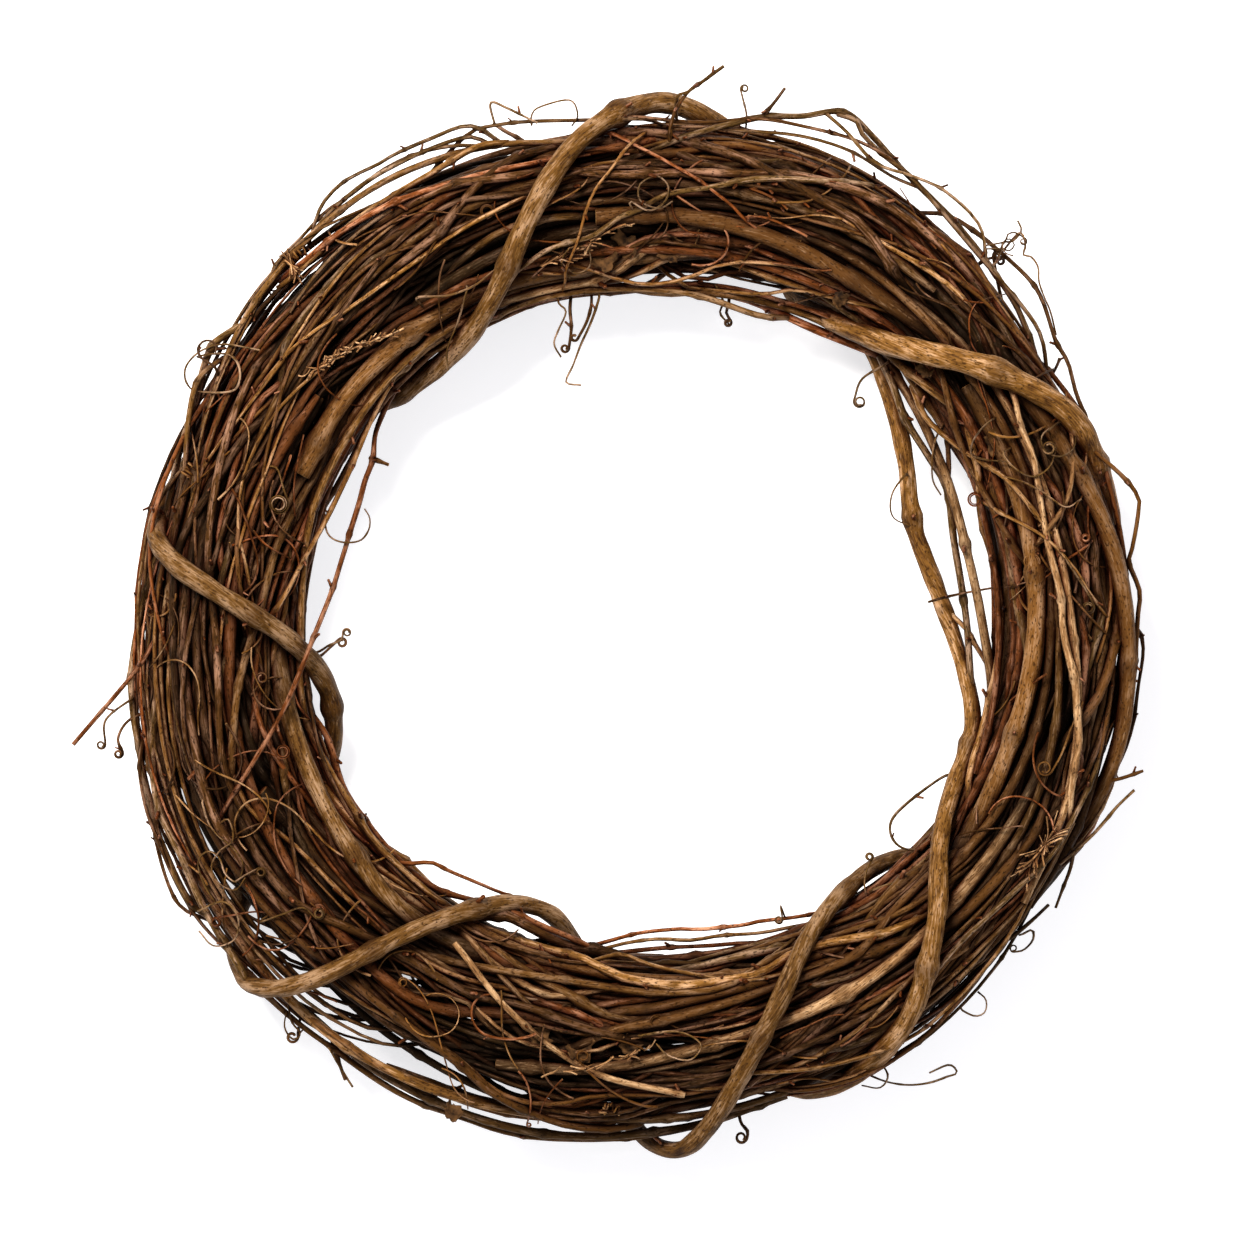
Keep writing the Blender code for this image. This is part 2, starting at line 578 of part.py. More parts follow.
def add_side_twigs(solids, collection):
    """Grows the side twigs from their crossing twigs."""
    grown = {}
    for i, (name, start, end, places) in enumerate(SIDE_TWIGS):
        line = smooth_line(from_polar(places), SIDE_TWIG_SPACING)
        radii = np.linspace(start, end, len(line))
        shape = as_mesh(tube(f"side_twig_{i}", line_to_world(line), radii, TWIGS[name][0], 0, collection))
        grown.setdefault(name, []).append(shape)
    for name, shapes in grown.items():
        join_shapes(as_mesh(solids[name]), shapes, collection)


def build():
    for old in list(bpy.data.objects):
        bpy.data.objects.remove(old)
    wreath = bpy.data.collections.new("grapevine_wreath")
    cutters = bpy.data.collections.new("cutters")
    for collection in (wreath, cutters):
        bpy.context.scene.collection.children.link(collection)

    binding = {
        "binding_cane": binding_line(BINDING_CANE, BINDING_RADII, 14),
        "second_binding_cane": binding_line(SECOND_BINDING_CANE, SECOND_RADII, 13),
    }
    twigs = {}
    for name, (bark_name, start, end, places) in TWIGS.items():
        line = smooth_line(from_polar(places), TWIG_SPACING)
        twigs[name] = (line, np.linspace(start, end, len(line)))
    fixed, sizes = [], []
    for line, radii in (*binding.values(), *twigs.values()):
        fine = smooth_line(line, 3)
        fixed.append(fine)
        sizes.append(np.interp(np.linspace(0, 1, len(fine)), np.linspace(0, 1, len(line)), radii))

    canes = laid_canes() + coiled_canes()
    settle(canes, np.vstack(fixed), np.concatenate(sizes))

    slab = floor_cutter(cutters)
    for name, (line, radii) in binding.items():
        solid = as_mesh(tube(name, line_to_world(line), radii, "tan_bark", 2, wreath))
        apply_boolean(solid, "DIFFERENCE", slab)
    solids = {}
    for name, (line, radii) in twigs.items():
        solids[name] = tube(name, line_to_world(line), radii, TWIGS[name][0], 1, wreath)
    add_side_twigs(solids, wreath)
    for cane in canes:
        angles = (cane.first + np.arange(len(cane.line))) * STEP
        points = [to_world(angle, *place) for angle, place in zip(angles, cane.line)]
        solids[cane.name] = tube(cane.name, points, cane.radii, cane.bark, 1, wreath)
    add_tendrils(canes, solids, wreath)


build()
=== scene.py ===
import json
import math
import random

import bpy
import numpy as np
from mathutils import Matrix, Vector
from mathutils.bvhtree import BVHTree
from mathutils.kdtree import KDTree


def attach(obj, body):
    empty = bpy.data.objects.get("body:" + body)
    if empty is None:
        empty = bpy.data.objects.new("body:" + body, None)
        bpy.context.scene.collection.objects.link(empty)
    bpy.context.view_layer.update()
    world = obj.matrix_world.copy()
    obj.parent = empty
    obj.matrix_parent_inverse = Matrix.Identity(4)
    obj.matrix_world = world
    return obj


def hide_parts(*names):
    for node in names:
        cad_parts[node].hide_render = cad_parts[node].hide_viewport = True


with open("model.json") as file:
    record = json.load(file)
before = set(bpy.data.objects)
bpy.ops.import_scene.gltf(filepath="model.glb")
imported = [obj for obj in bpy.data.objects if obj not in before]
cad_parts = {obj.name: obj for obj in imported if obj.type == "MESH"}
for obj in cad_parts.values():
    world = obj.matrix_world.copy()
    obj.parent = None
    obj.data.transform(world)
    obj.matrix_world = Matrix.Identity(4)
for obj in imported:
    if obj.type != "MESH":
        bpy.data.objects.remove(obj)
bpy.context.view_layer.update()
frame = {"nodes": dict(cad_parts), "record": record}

bpy.ops.object.select_all(action="DESELECT")

# Canes coiled into the ring
# Dry grapevine canes, 4 to 9 mm thick, each about three quarters of a turn long. Every cane keeps the
# middle line of its solid in the frame, and gets swollen nodes, a ridged skin and sawn ends.

# The ring's centre in the frame. All places below are in millimetres and measured from it.
RING_CENTRE = np.array((14.9, -4.9, 0))
# The bundle's outer and inner edge every 30 degrees round the ring. Its section there is an ellipse.
OUTER_EDGE = (214, 217, 228, 224, 227, 217, 217, 229, 231, 227, 222, 223)
INNER_EDGE = (163, 161, 159, 149, 150, 147, 148, 147, 143, 139, 149, 160)
EDGE_TURNS = range(0, 360, 30)
MIDDLE_HEIGHT = 40.2
HALF_HEIGHT = 31.8


def turns_of(points):
    """The angles of points round the ring, in degrees."""
    return np.degrees(np.arctan2(points[:, 1], points[:, 0]))


def ring_place(angle, distance, height):
    """The place at an angle in degrees, a distance from the ring's axis and a height."""
    return (distance * math.cos(math.radians(angle)), distance * math.sin(math.radians(angle)), height)


def ring_section(turns):
    """The bundle's middle distance and half its width at angles in degrees."""
    outer = np.interp(turns, EDGE_TURNS, OUTER_EDGE, period=360)
    inner = np.interp(turns, EDGE_TURNS, INNER_EDGE, period=360)
    return (outer + inner) / 2, (outer - inner) / 2


def buried(line):
    """How deep in the bundle each point of a line lies, from 0 at its skin to 1 well inside."""
    middle, half = ring_section(turns_of(line))
    u = (np.hypot(line[:, 0], line[:, 1]) - middle) / half
    v = (line[:, 2] - MIDDLE_HEIGHT) / HALF_HEIGHT
    return np.clip((0.99 - np.hypot(u, v)) / 0.25, 0, 1)


def run_along(line):
    """The length from a line's start to each of its points."""
    return np.concatenate([[0], np.cumsum(np.linalg.norm(np.diff(line[:, :3], axis=0), axis=1))])


def steps_to_end(count):
    """How many steps each point of a line is away from the nearer end."""
    return np.minimum(np.arange(count), np.arange(count)[::-1])


def rows_between(places, known, rows):
    """The rows at places between known ones."""
    return np.stack([np.interp(places, known, column) for column in rows.T], axis=1)


def slow_wave(rng, run, length, size):
    """A smooth irregular wave along a cane, with bends about a length apart."""
    total = np.zeros(len(run))
    for cycles in (0.6, 1.0, 1.7, 2.9):
        total += np.sin(run / length * cycles * 2 * math.pi + rng.uniform(0, 2 * math.pi)) / cycles ** 0.5
    return size * total / 2


def smooth_line(points, spacing):
    """Rows an even spacing apart on a smooth curve through the given ones; further columns go along."""
    points = np.array(points, float)
    padded = np.vstack([2 * points[0] - points[1], points, 2 * points[-1] - points[-2]])
    fine = []
    for a, b, c, d in zip(padded, padded[1:], padded[2:], padded[3:]):
        for t in np.linspace(0, 1, 12, endpoint=False):
            fine.append(b + 0.5 * t * (c - a + t * (2 * a - 5 * b + 4 * c - d + t * (3 * (b - c) + d - a))))
    fine = np.array([*fine, points[-1]])
    run = run_along(fine)
    return rows_between(np.linspace(0, run[-1], max(2, round(run[-1] / spacing)) + 1), run, fine)


def reach_round_ring(corners):
    """The angles round the ring, in degrees, where a solid starts and ends."""
    turns = np.sort(turns_of(corners))
    gaps = np.diff(np.append(turns, turns[0] + 360))
    widest = gaps.argmax()
    start = turns[(widest + 1) % len(turns)]
    return start, start + 360 - gaps[widest]


def section_middle(corners, edges, angle, expected, reach):
    """The distance and height of a cane's middle where the half plane at an angle cuts it."""
    out = np.array(ring_place(angle, 1, 0)[:2])
    side = corners[:, 1] * out[0] - corners[:, 0] * out[1]
    start, end = side[edges].T
    cut = (start < 0) != (end < 0)
    share = (start[cut] / (start[cut] - end[cut]))[:, None]
    crossings = corners[edges[cut, 0]] * (1 - share) + corners[edges[cut, 1]] * share
    places = np.column_stack([crossings[:, :2] @ out, crossings[:, 2]])
    places = places[places[:, 0] > 0]
    if expected is not None:
        places = places[np.linalg.norm(places - expected, axis=1) < reach]
    return (places.min(axis=0) + places.max(axis=0)) / 2 if len(places) else expected


def follow_solid(name, sides, step, keep, reach, start=None):
    """Rows of x, y, z and radius along the middle of a cane's solid, which has that many sides. It is cut
    every step in degrees, within reach of where it was heading, and each keep in degrees gives a row."""
    mesh = frame["nodes"][name].data
    points = [corner.co for corner in mesh.vertices]
    surface = BVHTree.FromPolygons(points, [face.vertices for face in mesh.polygons])
    corners = np.array(points) * 1000 - RING_CENTRE
    edges = np.array([edge.vertices for edge in mesh.edges])
    first, last = reach_round_ring(corners) if start is None else (start, start + 357.5)
    stops = np.arange(math.ceil(first / step - 0.01), math.floor(last / step + 0.01) + 1) * step
    stops = np.unique(np.clip(stops, first + 0.4, last - 0.4))
    rows, places, expected = [], [], None
    for i, stop in enumerate(stops):
        near = reach if i > 2 else 2.5 * reach
        places.append(section_middle(corners, edges, stop + 0.005, expected, near))
        expected = 2 * places[-1] - places[-2:][0]
        if i in (0, len(stops) - 1) or abs(stop / keep - round(stop / keep)) < 0.01:
            middle = ring_place(stop, *places[-1])
            radius = surface.find_nearest(Vector(np.array(middle) + RING_CENTRE) / 1000)[3]
            rows.append((*middle, 1000 * radius / math.cos(math.pi / sides)))
    return np.array(rows)


def even_taper(radii):
    """Radii that run evenly from the thick end to the thin one, leaving out those measured wrong."""
    usual = np.median(radii)
    along = np.arange(len(radii))
    good = (radii > 0.8 * usual) & (radii < 1.2 * usual)
    return np.polyval(np.polyfit(along[good], radii[good], 1 if good.sum() > 3 else 0), along)


def cane_section(name, sides, ridges, depth):
    """A cane's outline with its lengthwise ridges, as a ring of one metre radius that curves can follow."""
    rng = random.Random(name)
    bpy.ops.mesh.primitive_circle_add(vertices=sides, radius=1)
    ring = bpy.context.object
    ring.name = name
    for i, corner in enumerate(ring.data.vertices):
        turn = 2 * math.pi * i / sides
        swell = sum(math.cos(folds * turn + rng.uniform(0, 6.28)) / folds ** 0.5 for folds in ridges)
        corner.co *= 1 + depth * swell + rng.uniform(-0.3, 0.3) * depth
    bpy.ops.object.convert(target="CURVE")
    return bpy.context.object


THICK_SECTIONS = [cane_section(f"thick_cane_section_{i}", 18, (2, 3, 5, 8), 0.045) for i in range(3)]
CANE_SECTIONS = [cane_section(f"cane_section_{i}", 12, (2, 3, 5), 0.055) for i in range(3)]

# How long a cane's gentle swellings are, and how slowly its ridges turn round it.
LUMP_LENGTH = 45
RIDGE_TURN_LENGTH = 260
cane_nodes = []


def grow_cane(line, radii, section, rng, knots=60, swelling=0.3, zigzag=0.35, lumps=0.05, fixed_knots=(),
              tint=None, ends=(0.85, 0.85), spacing=0):
    """A cane as a curve: swollen and slightly bent at its nodes, with its ridges turning slowly round.
    With a spacing, the points between the nodes are thinned out to it."""
    line = np.array(line, float)
    radii = np.broadcast_to(np.array(radii, float), len(line))
    run = run_along(line)
    places = list(fixed_knots)
    place = rng.uniform(0.2, 0.9) * knots
    while place < run[-1]:
        if all(abs(place - fixed) > 0.5 * knots for fixed in fixed_knots):
            places.append(place)
        place += knots * rng.uniform(0.7, 1.35)
    places.sort()
    size = radii * (1 + slow_wave(rng, run, LUMP_LENGTH, lumps))
    nearness = np.zeros(len(line))
    for place in places:
        width = rng.uniform(0.8, 1.2) * radii.mean() + 0.6
        strength = 1.0 if place in fixed_knots else rng.uniform(0.6, 1.2)
        bump = np.exp(-((run - place) / width) ** 2)
        collar = np.exp(-((run - place - 0.5 * width) / (0.35 * width + 0.5)) ** 2)
        nearness = np.maximum(nearness, bump)
        size = size * (1 + swelling * strength * (bump + 0.3 * collar))
    along = np.gradient(line, axis=0)
    along /= np.linalg.norm(along, axis=1)[:, None]
    if len(places) > 1:
        across = np.cross(along, (0, 0, 1))
        across /= np.linalg.norm(across, axis=1)[:, None] + 1e-9
        lean = rng.uniform(-0.6, 0.6)
        offsets = [(-1) ** i * rng.uniform(0.4, 1) for i in range(len(places))]
        bend = np.interp(run, places, offsets) * zigzag * radii
        line = line + (across + lean * np.cross(across, along)) * bend[:, None]
    if spacing:
        kept = np.zeros(len(line), bool)
        kept[np.searchsorted(run, np.arange(0, run[-1], spacing))] = True
        kept[-1] = True
        for place in places:
            kept |= np.abs(run - place) < 1.3 * radii.mean() + 1.6
        line, size, nearness, run, along = (values[kept] for values in (line, size, nearness, run, along))
    # Both ends get a narrower last section, which rounds off the edge of the cut.
    line = np.vstack([line[0] - 0.1 * size[0] * along[0], line, line[-1] + 0.1 * size[-1] * along[-1]])
    size = np.array([ends[0] * size[0], *size, ends[1] * size[-1]])
    run = np.pad(run, 1, mode="edge")
    curve = bpy.data.curves.new("cane", "CURVE")
    curve.dimensions = "3D"
    curve.bevel_mode = "OBJECT"
    curve.bevel_object = section
    spline = curve.splines.new("POLY")
    spline.use_smooth = True
    spline.points.add(len(line) - 1)
    corners = np.column_stack([(line + RING_CENTRE) / 1000, np.ones(len(line))])
    spline.points.foreach_set("co", corners.ravel())
    spline.points.foreach_set("radius", size / 1000)
    spline.points.foreach_set("tilt", slow_wave(rng, run, RIDGE_TURN_LENGTH, 1.0) + rng.uniform(0, 6.28))
    cane = bpy.data.objects.new("cane", curve)
    bpy.context.scene.collection.objects.link(cane)
    sides = len(section.data.splines[0].points)
    turns = np.arange(sides) * 2 * math.pi / sides
    across = [np.outer(size, np.cos(turns)), np.outer(size, np.sin(turns)), np.outer(run, np.ones(sides))]
    values = {
        "grain": np.stack(across, axis=2) + rng.uniform(0, 900),
        "knot": np.repeat(np.pad(nearness, 1), sides),
        "cut": np.repeat([1.0, *np.zeros(len(line) - 2), 1.0], sides),
        "tint": np.repeat(np.broadcast_to(rng.random() if tint is None else tint, len(line)), sides),
        # How deep each point lies in the bundle, which the bark turns into a painted shade.
        "depth": np.repeat(buried(line), sides),
    }
    for place in places:
        nearest = np.abs(run - place).argmin()
        ahead = line[min(nearest + 1, len(line) - 1)] - line[nearest - 1]
        cane_nodes.append((line[nearest], ahead / np.linalg.norm(ahead), float(size[nearest])))
    return cane, values


def store_values(mesh, values):
    """Stores what the bark reads at each point of a mesh."""
    for label in ("grain", "knot", "cut", "tint", "depth"):
        kind, field = ("FLOAT_VECTOR", "vector") if label == "grain" else ("FLOAT", "value")
        attribute = mesh.attributes.new(label, kind, "POINT")
        attribute.data.foreach_set(field, values[label].ravel())


def select_only(pieces):
    """Selects these objects and no others, and makes the first one active."""
    bpy.ops.object.select_all(action="DESELECT")
    for piece in pieces:
        piece.select_set(True)
    bpy.context.view_layer.objects.active = pieces[0]


def finish_piece(name, material, slot, *nodes):
    """Names the active object, gives it its material and lets it ride on the wreath."""
    piece = bpy.context.object
    piece.name = piece.data.name = name
    piece.data.materials.clear()
    piece.data.materials.append(material)
    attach(piece, "root")
    if nodes:
        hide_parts(*nodes)


def finish_canes(name, canes, slot, *nodes):
    """Turns grown canes into one closed mesh in a bark, with what the bark reads."""
    select_only([cane for cane, values in canes])
    bpy.ops.object.convert(target="MESH")
    for cane, values in canes:
        store_values(cane.data, values)
    if len(canes) > 1:
        bpy.ops.object.join()
    bpy.ops.object.mode_set(mode="EDIT")
    bpy.ops.mesh.select_all(action="SELECT")
    bpy.ops.mesh.fill_holes(sides=0)
    bpy.ops.object.mode_set(mode="OBJECT")
    # The undersides that bear on the table are pressed flat.
    mesh = bpy.context.object.data
    for corner in mesh.vertices:
        corner.co.z = max(corner.co.z, 0)
    mesh.update()
    finish_piece(name, BARKS[slot], slot, *nodes)


def linear(code):
    """A colour from its sRGB hex code, as linear values with alpha."""
    shares = [int(code[i:i + 2], 16) / 255 for i in (1, 3, 5)]
    return (*[s / 12.92 if s < 0.04045 else ((s + 0.055) / 1.055) ** 2.4 for s in shares], 1)


def add_node(tree, kind, inputs=(), output=0, **settings):
    """Adds a node, applies its settings, fills its sockets with values or links, and returns one output."""
    made = tree.nodes.new(kind)
    for key, value in settings.items():
        setattr(made, key, value)
    for key, value in dict(inputs).items():
        socket = made.inputs[key]
        if isinstance(value, bpy.types.NodeSocket):
            tree.links.new(value, socket)
        else:
            socket.default_value = value
    return made.outputs[output]


# Dry vine bark. It splits and shreds lengthwise, so its streaks and cracks run along the cane; dark pores
# dash it, handling wears it pale in flecks, and the nodes stay dark. Canes deep in the bundle get a painted
# shade that darkens them, and the crevices between canes get a painted brown shade. Real fibres are finer
# than a pixel, so they are drawn about a millimetre wide.
PATTERNS = {
    # width across the cane in millimetres, how many times longer it is along it, and detail
    "fibres": (0.7, 15, 4.0), "mottling": (3.4, 3, 4.0), "weather": (22.0, 2, 2.0),
    "pores": (0.8, 2.5, 1.0), "flecks": (1.1, 7, 2.0),
}
CUT_WOOD = "#8d6a40"
# The dark brown that the painted crevice shade pulls the colour towards, and how near other canes must lie
# for it.
PAINTED_CREVICE_SHADE = (0.13, 0.02, 0.0, 1)
CREVICE_WIDTH = 0.011
CRACK_DEPTH = 0.00035


def bark_material(name, dark, middle, light, second, roughness):
    material = bpy.data.materials.new(name)
    material.use_nodes = True
    tree = material.node_tree
    shader = tree.nodes["Principled BSDF"]
    grain = add_node(tree, "ShaderNodeAttribute", output="Vector", attribute_name="grain")
    tint, knot, cut, depth = (add_node(tree, "ShaderNodeAttribute", output="Fac", attribute_name=label)
                              for label in ("tint", "knot", "cut", "depth"))
    patterns = {}
    for label, (width, stretch, detail) in PATTERNS.items():
        drawn_out = add_node(tree, "ShaderNodeMapping", {"Vector": grain, "Scale": (1, 1, 1 / stretch)})
        patterns[label] = add_node(tree, "ShaderNodeTexNoise", {
            "Vector": drawn_out, "Scale": 1 / width, "Detail": detail, "Roughness": 0.6})
    worn = -0.32
    for label, weight in (("fibres", 0.75), ("mottling", 0.85), ("weather", 0.6)):
        worn = add_node(tree, "ShaderNodeMath", {0: patterns[label], 1: weight, 2: worn},
                        operation="MULTIPLY_ADD")
    colour = add_node(tree, "ShaderNodeValToRGB", {"Fac": worn})
    colour.node.color_ramp.elements.new(0.5)
    colours = zip((0.52, 0.77, 0.98), (dark, middle, light))
    for element, (place, code) in zip(colour.node.color_ramp.elements, colours):
        element.position = place
        element.color = linear(code)

    # A cane's own tint sets its share of the second colour and its brightness, and its depth in the bundle
    # adds a painted shade.
    share = add_node(tree, "ShaderNodeMath", {0: tint, 1: 1.45, 2: -0.65}, operation="MULTIPLY_ADD",
                     use_clamp=True)
    colour = add_node(tree, "ShaderNodeMix", {0: share, 6: colour, 7: linear(second)}, 2, data_type="RGBA")
    spread = add_node(tree, "ShaderNodeMath", {0: tint, 1: 7.31}, operation="MULTIPLY")
    spread = add_node(tree, "ShaderNodeMath", {0: spread}, operation="FRACT")
    spread = add_node(tree, "ShaderNodeMath", {0: spread, 1: 0.85, 2: 0.62}, operation="MULTIPLY_ADD")
    # Painted shade: the deeper a cane lies in the bundle, the darker its colour, down to a tenth.
    painted_depth_shade = add_node(tree, "ShaderNodeMath", {0: depth, 1: -1.0, 2: 1.1}, operation="MULTIPLY_ADD")
    shade = add_node(tree, "ShaderNodeMath", {0: spread, 1: painted_depth_shade}, operation="MULTIPLY")
    colour = add_node(tree, "ShaderNodeVectorMath", {0: colour, "Scale": shade}, operation="SCALE")

    flecks = add_node(tree, "ShaderNodeMath", {0: patterns["flecks"], 1: 6.0, 2: -3.6},
                      operation="MULTIPLY_ADD", use_clamp=True)
    pits = add_node(tree, "ShaderNodeMath", {0: patterns["pores"], 1: -12.0, 2: 4.7},
                    operation="MULTIPLY_ADD", use_clamp=True)
    for pattern, strength, code in ((flecks, 0.55, light), (pits, 0.8, dark),
                                    (knot, patterns["mottling"], dark), (cut, 1.0, CUT_WOOD)):
        share = add_node(tree, "ShaderNodeMath", {0: pattern, 1: strength}, operation="MULTIPLY")
        colour = add_node(tree, "ShaderNodeMix", {0: share, 6: colour, 7: linear(code)}, 2,
                          data_type="RGBA")
    # Painted shade: where an ambient occlusion mask finds other canes close by, in the crevices between them,
    # the colour is darkened towards a dark brown.
    opening = add_node(tree, "ShaderNodeAmbientOcclusion", {"Distance": CREVICE_WIDTH}, "AO", samples=4)
    opening = add_node(tree, "ShaderNodeMath", {0: opening, 1: 2.4}, operation="POWER")
    closed = add_node(tree, "ShaderNodeMath", {0: 1.0, 1: opening}, operation="SUBTRACT")
    colour = add_node(tree, "ShaderNodeMix", {0: closed, 6: colour, 7: PAINTED_CREVICE_SHADE}, 2, data_type="RGBA",
                      blend_type="MULTIPLY")
    tree.links.new(colour, shader.inputs["Base Color"])
    shader.inputs["Specular IOR Level"].default_value = 0.09
    shader.inputs["Specular Tint"].default_value = (1, 0.7, 0.45, 1)
    sheen = add_node(tree, "ShaderNodeMath", {0: patterns["fibres"], 1: -0.5, 2: roughness + 0.25},
                     operation="MULTIPLY_ADD")
    tree.links.new(sheen, shader.inputs["Roughness"])
    height = add_node(tree, "ShaderNodeMath", {0: patterns["fibres"], 1: pits}, operation="SUBTRACT")
    bump = add_node(tree, "ShaderNodeBump", {"Height": height, "Strength": 1.0, "Distance": CRACK_DEPTH})
    tree.links.new(bump, shader.inputs["Normal"])
    return material


BARKS = {
    "tan_bark": bark_material("fibrous_tan_bark", "#2b1707", "#604019", "#977758", "#503013", 0.6),
    "red_brown_bark": bark_material("red_brown_bark", "#1d0a01", "#562a0c", "#8d634a", "#4d2a0f", 0.58),
    "dark_bark": bark_material("weathered_dark_bark", "#120701", "#341e08", "#694d3b", "#43280b", 0.64),
    "grey_brown_bark": bark_material("grey_brown_bark", "#1e1105", "#4b3517", "#8b715b", "#4a2f10", 0.66),
    "pale_bark": bark_material("pale_stripped_bark", "#3a2411", "#7a5836", "#b3926c", "#644325", 0.6),
}

TWIGS = ("crossing_twig", "kinked_twig", "long_stray_twig")
# Above this radius a cane has more ridges and longer stretches between its nodes. The coiled canes, whose
# ends lie between others, narrow to half over that many steps.
THICK_CANE = 3
NARROWING = 12
slots = {row["node"]: row["material_slot"] for row in frame["record"]["subparts"]}
standing_canes, upper_canes = [], []


def dress_solid(name, fine, radii, section, rng, **growth):
    """Grows a cane along its smoothed middle line and puts it in its solid's place."""
    standing_canes.append(fine)
    if "coiled" not in name:
        upper_canes.append(fine)
    cane = grow_cane(fine[:, :3], radii, section, rng, **growth)
    finish_canes(f"{name}_bark", [cane], slots[name], name)


for name in sorted(slots):
    if "binding" in name or name in TWIGS:
        continue
    rows = follow_solid(name, sides=6, step=3, keep=12, reach=7)
    rows[:, 3] = even_taper(rows[:, 3])
    thick = rows[:, 3].mean() > THICK_CANE
    fine = smooth_line(rows, 1.5)
    rng = random.Random(name)
    radii = fine[:, 3]
    if "coiled" in name:
        radii = radii * np.clip(0.5 + 0.5 * steps_to_end(len(fine)) / NARROWING, 0, 1)
    tint = 0.085 if name.startswith("pale") else 0 if "gap" in name else None
    dress_solid(name, fine, radii, rng.choice(THICK_SECTIONS if thick else CANE_SECTIONS), rng,
                knots=75 if thick else 62, swelling=0.28 if thick else 0.34, tint=tint,
                spacing=5 if thick else 7)
ring_canes = list(standing_canes)

# Binding canes
# Two thick canes of the same vine, pulled round the bundle while green and dried in place. Their bark is
# older: fibrous, with lengthwise ridges and heavy knuckles at the nodes, and it pales towards some turns.

BINDINGS = (
    # name, where it starts, whether it goes all round, the knuckles' angles, and the tint by angle
    ("binding_cane", 330, True, (358.5, 379, 452, 520, 600),
     ((370, 0.12), (400, 0.09), (452, 0.025), (515, 0.0), (600, 0.01), (640, 0.0))),
    ("second_binding_cane", -86, False, (-20, 20.8), ((-60, 0.045), (0, 0.095))),
)
for name, start, all_round, knuckles, tints in BINDINGS:
    rows = follow_solid(name, sides=8, step=2.5, keep=2.5, reach=18, start=start if all_round else None)
    rows[:, 3] = 0.94 * np.convolve(np.pad(rows[:, 3], 4, mode="edge"), np.ones(9) / 9, mode="valid")
    fine = smooth_line(rows, 2)
    turns = np.degrees(np.unwrap(np.arctan2(fine[:, 1], fine[:, 0])))
    turns += 360 * round((start - turns[0]) / 360)
    dress_solid(name, fine, fine[:, 3], THICK_SECTIONS[1], random.Random(name), knots=95, swelling=0.24,
                zigzag=0.15, lumps=0.06, fixed_knots=tuple(np.interp(knuckles, turns, run_along(fine))),
                tint=np.pad(np.interp(turns, *zip(*tints)), 1, mode="edge"))

# Crossing and stray twigs
# Thin side shoots that the canes kept, which cross the ring or stand out of it. Like fine canes they have
# fewer ridges.

FINE_SECTIONS = [cane_section(f"fine_cane_section_{i}", 8, (2, 3), 0.06) for i in range(3)]
for name in TWIGS:
    rows = follow_solid(name, sides=6, step=2, keep=4, reach=9)
    rows[:, 3] = 0.86 * even_taper(rows[:, 3])
    fine = smooth_line(rows, 2.5)
    dress_solid(name, fine, fine[:, 3], FINE_SECTIONS[0], random.Random(name), knots=34, swelling=0.32,
                zigzag=0.5, tint=0.03)

# Fine canes of the bundle
# The thinner canes, 1 to 5 mm thick, that fill the ring between the thick ones, and the thinnest that
# slipped to its loose outer edges. They are laid at random and pushed apart, pass below the canes that
# lie on top, and leave open the gaps that the floor shows in.

LOOSE_EDGES = (
    # the angles between which thin canes slipped outwards, and the distance that the others keep within
    (128, 250, 208), (-40, 44, 212), (36, 104, 219), (96, 172, 213), (272, 342, 211),
)
OPEN_GAPS = (
    # the angles and the distances between which the floor shows
    (232, 274, 182, 191), (224, 276, 208, 216), (222, 302, 138, 149), (50, 90, 150, 165),
)
FINE_CANES = 300
EDGE_CANES = 110
ALL_CANES = FINE_CANES + EDGE_CANES
STATION = 3
STATIONS = 360 // STATION
MM_PER_DEGREE = 3.2
EDGE_MM_PER_DEGREE = 3.7
PUSHES = 50
TOP_LAYER = 58

# Every cane wants a place at each of the stations that it passes. Of the free ones, an eighth lies on top,
# nearly a third is deep inside, and the others are near the skin, mostly on the upper side.
angles = np.arange(STATIONS) * STATION
middles, halves = ring_section(angles)

rng = random.Random(7)
held = np.zeros((ALL_CANES, STATIONS), bool)
wanted = np.zeros((ALL_CANES, STATIONS, 2))
routes, thicknesses, limits = [], [], []
for i in range(FINE_CANES):
    start = rng.randrange(STATIONS)
    length = round(rng.triangular(26, 104, 56))
    here = (start + np.arange(length)) % STATIONS
    on_top = i % 8 == 1
    deep = i % 3 == 0 and not on_top
    face = rng.uniform(0, 360) if deep else rng.gauss(90, 60)
    depth = rng.uniform(0.3, 0.92) if deep else rng.uniform(0.66, 0.9 if i % 4 else 1.0)
    depth = 1.02 if on_top else depth
    along = np.arange(length) * STATION * MM_PER_DEGREE
    turn = np.radians(face + slow_wave(rng, along, 330, 34))
    level = np.clip(depth + slow_wave(rng, along, 260, 0.12), 0.1, 1.08 if on_top or i % 9 == 0 else 1.0)
    level *= np.clip(0.62 + 0.08 * steps_to_end(length), 0, 1)
    held[i, here] = True
    wanted[i, here, 0] = middles[here] + halves[here] * level * np.cos(turn)
    wanted[i, here, 1] = MIDDLE_HEIGHT + HALF_HEIGHT * level * np.sin(turn)
    routes.append(here)
    thicknesses.append(rng.uniform(0.8, 1.5) if i % 5 < 3 else rng.uniform(1.6, 2.5))
    limits.append(1.06 if on_top else 0.95 if i % 9 else 1.03)
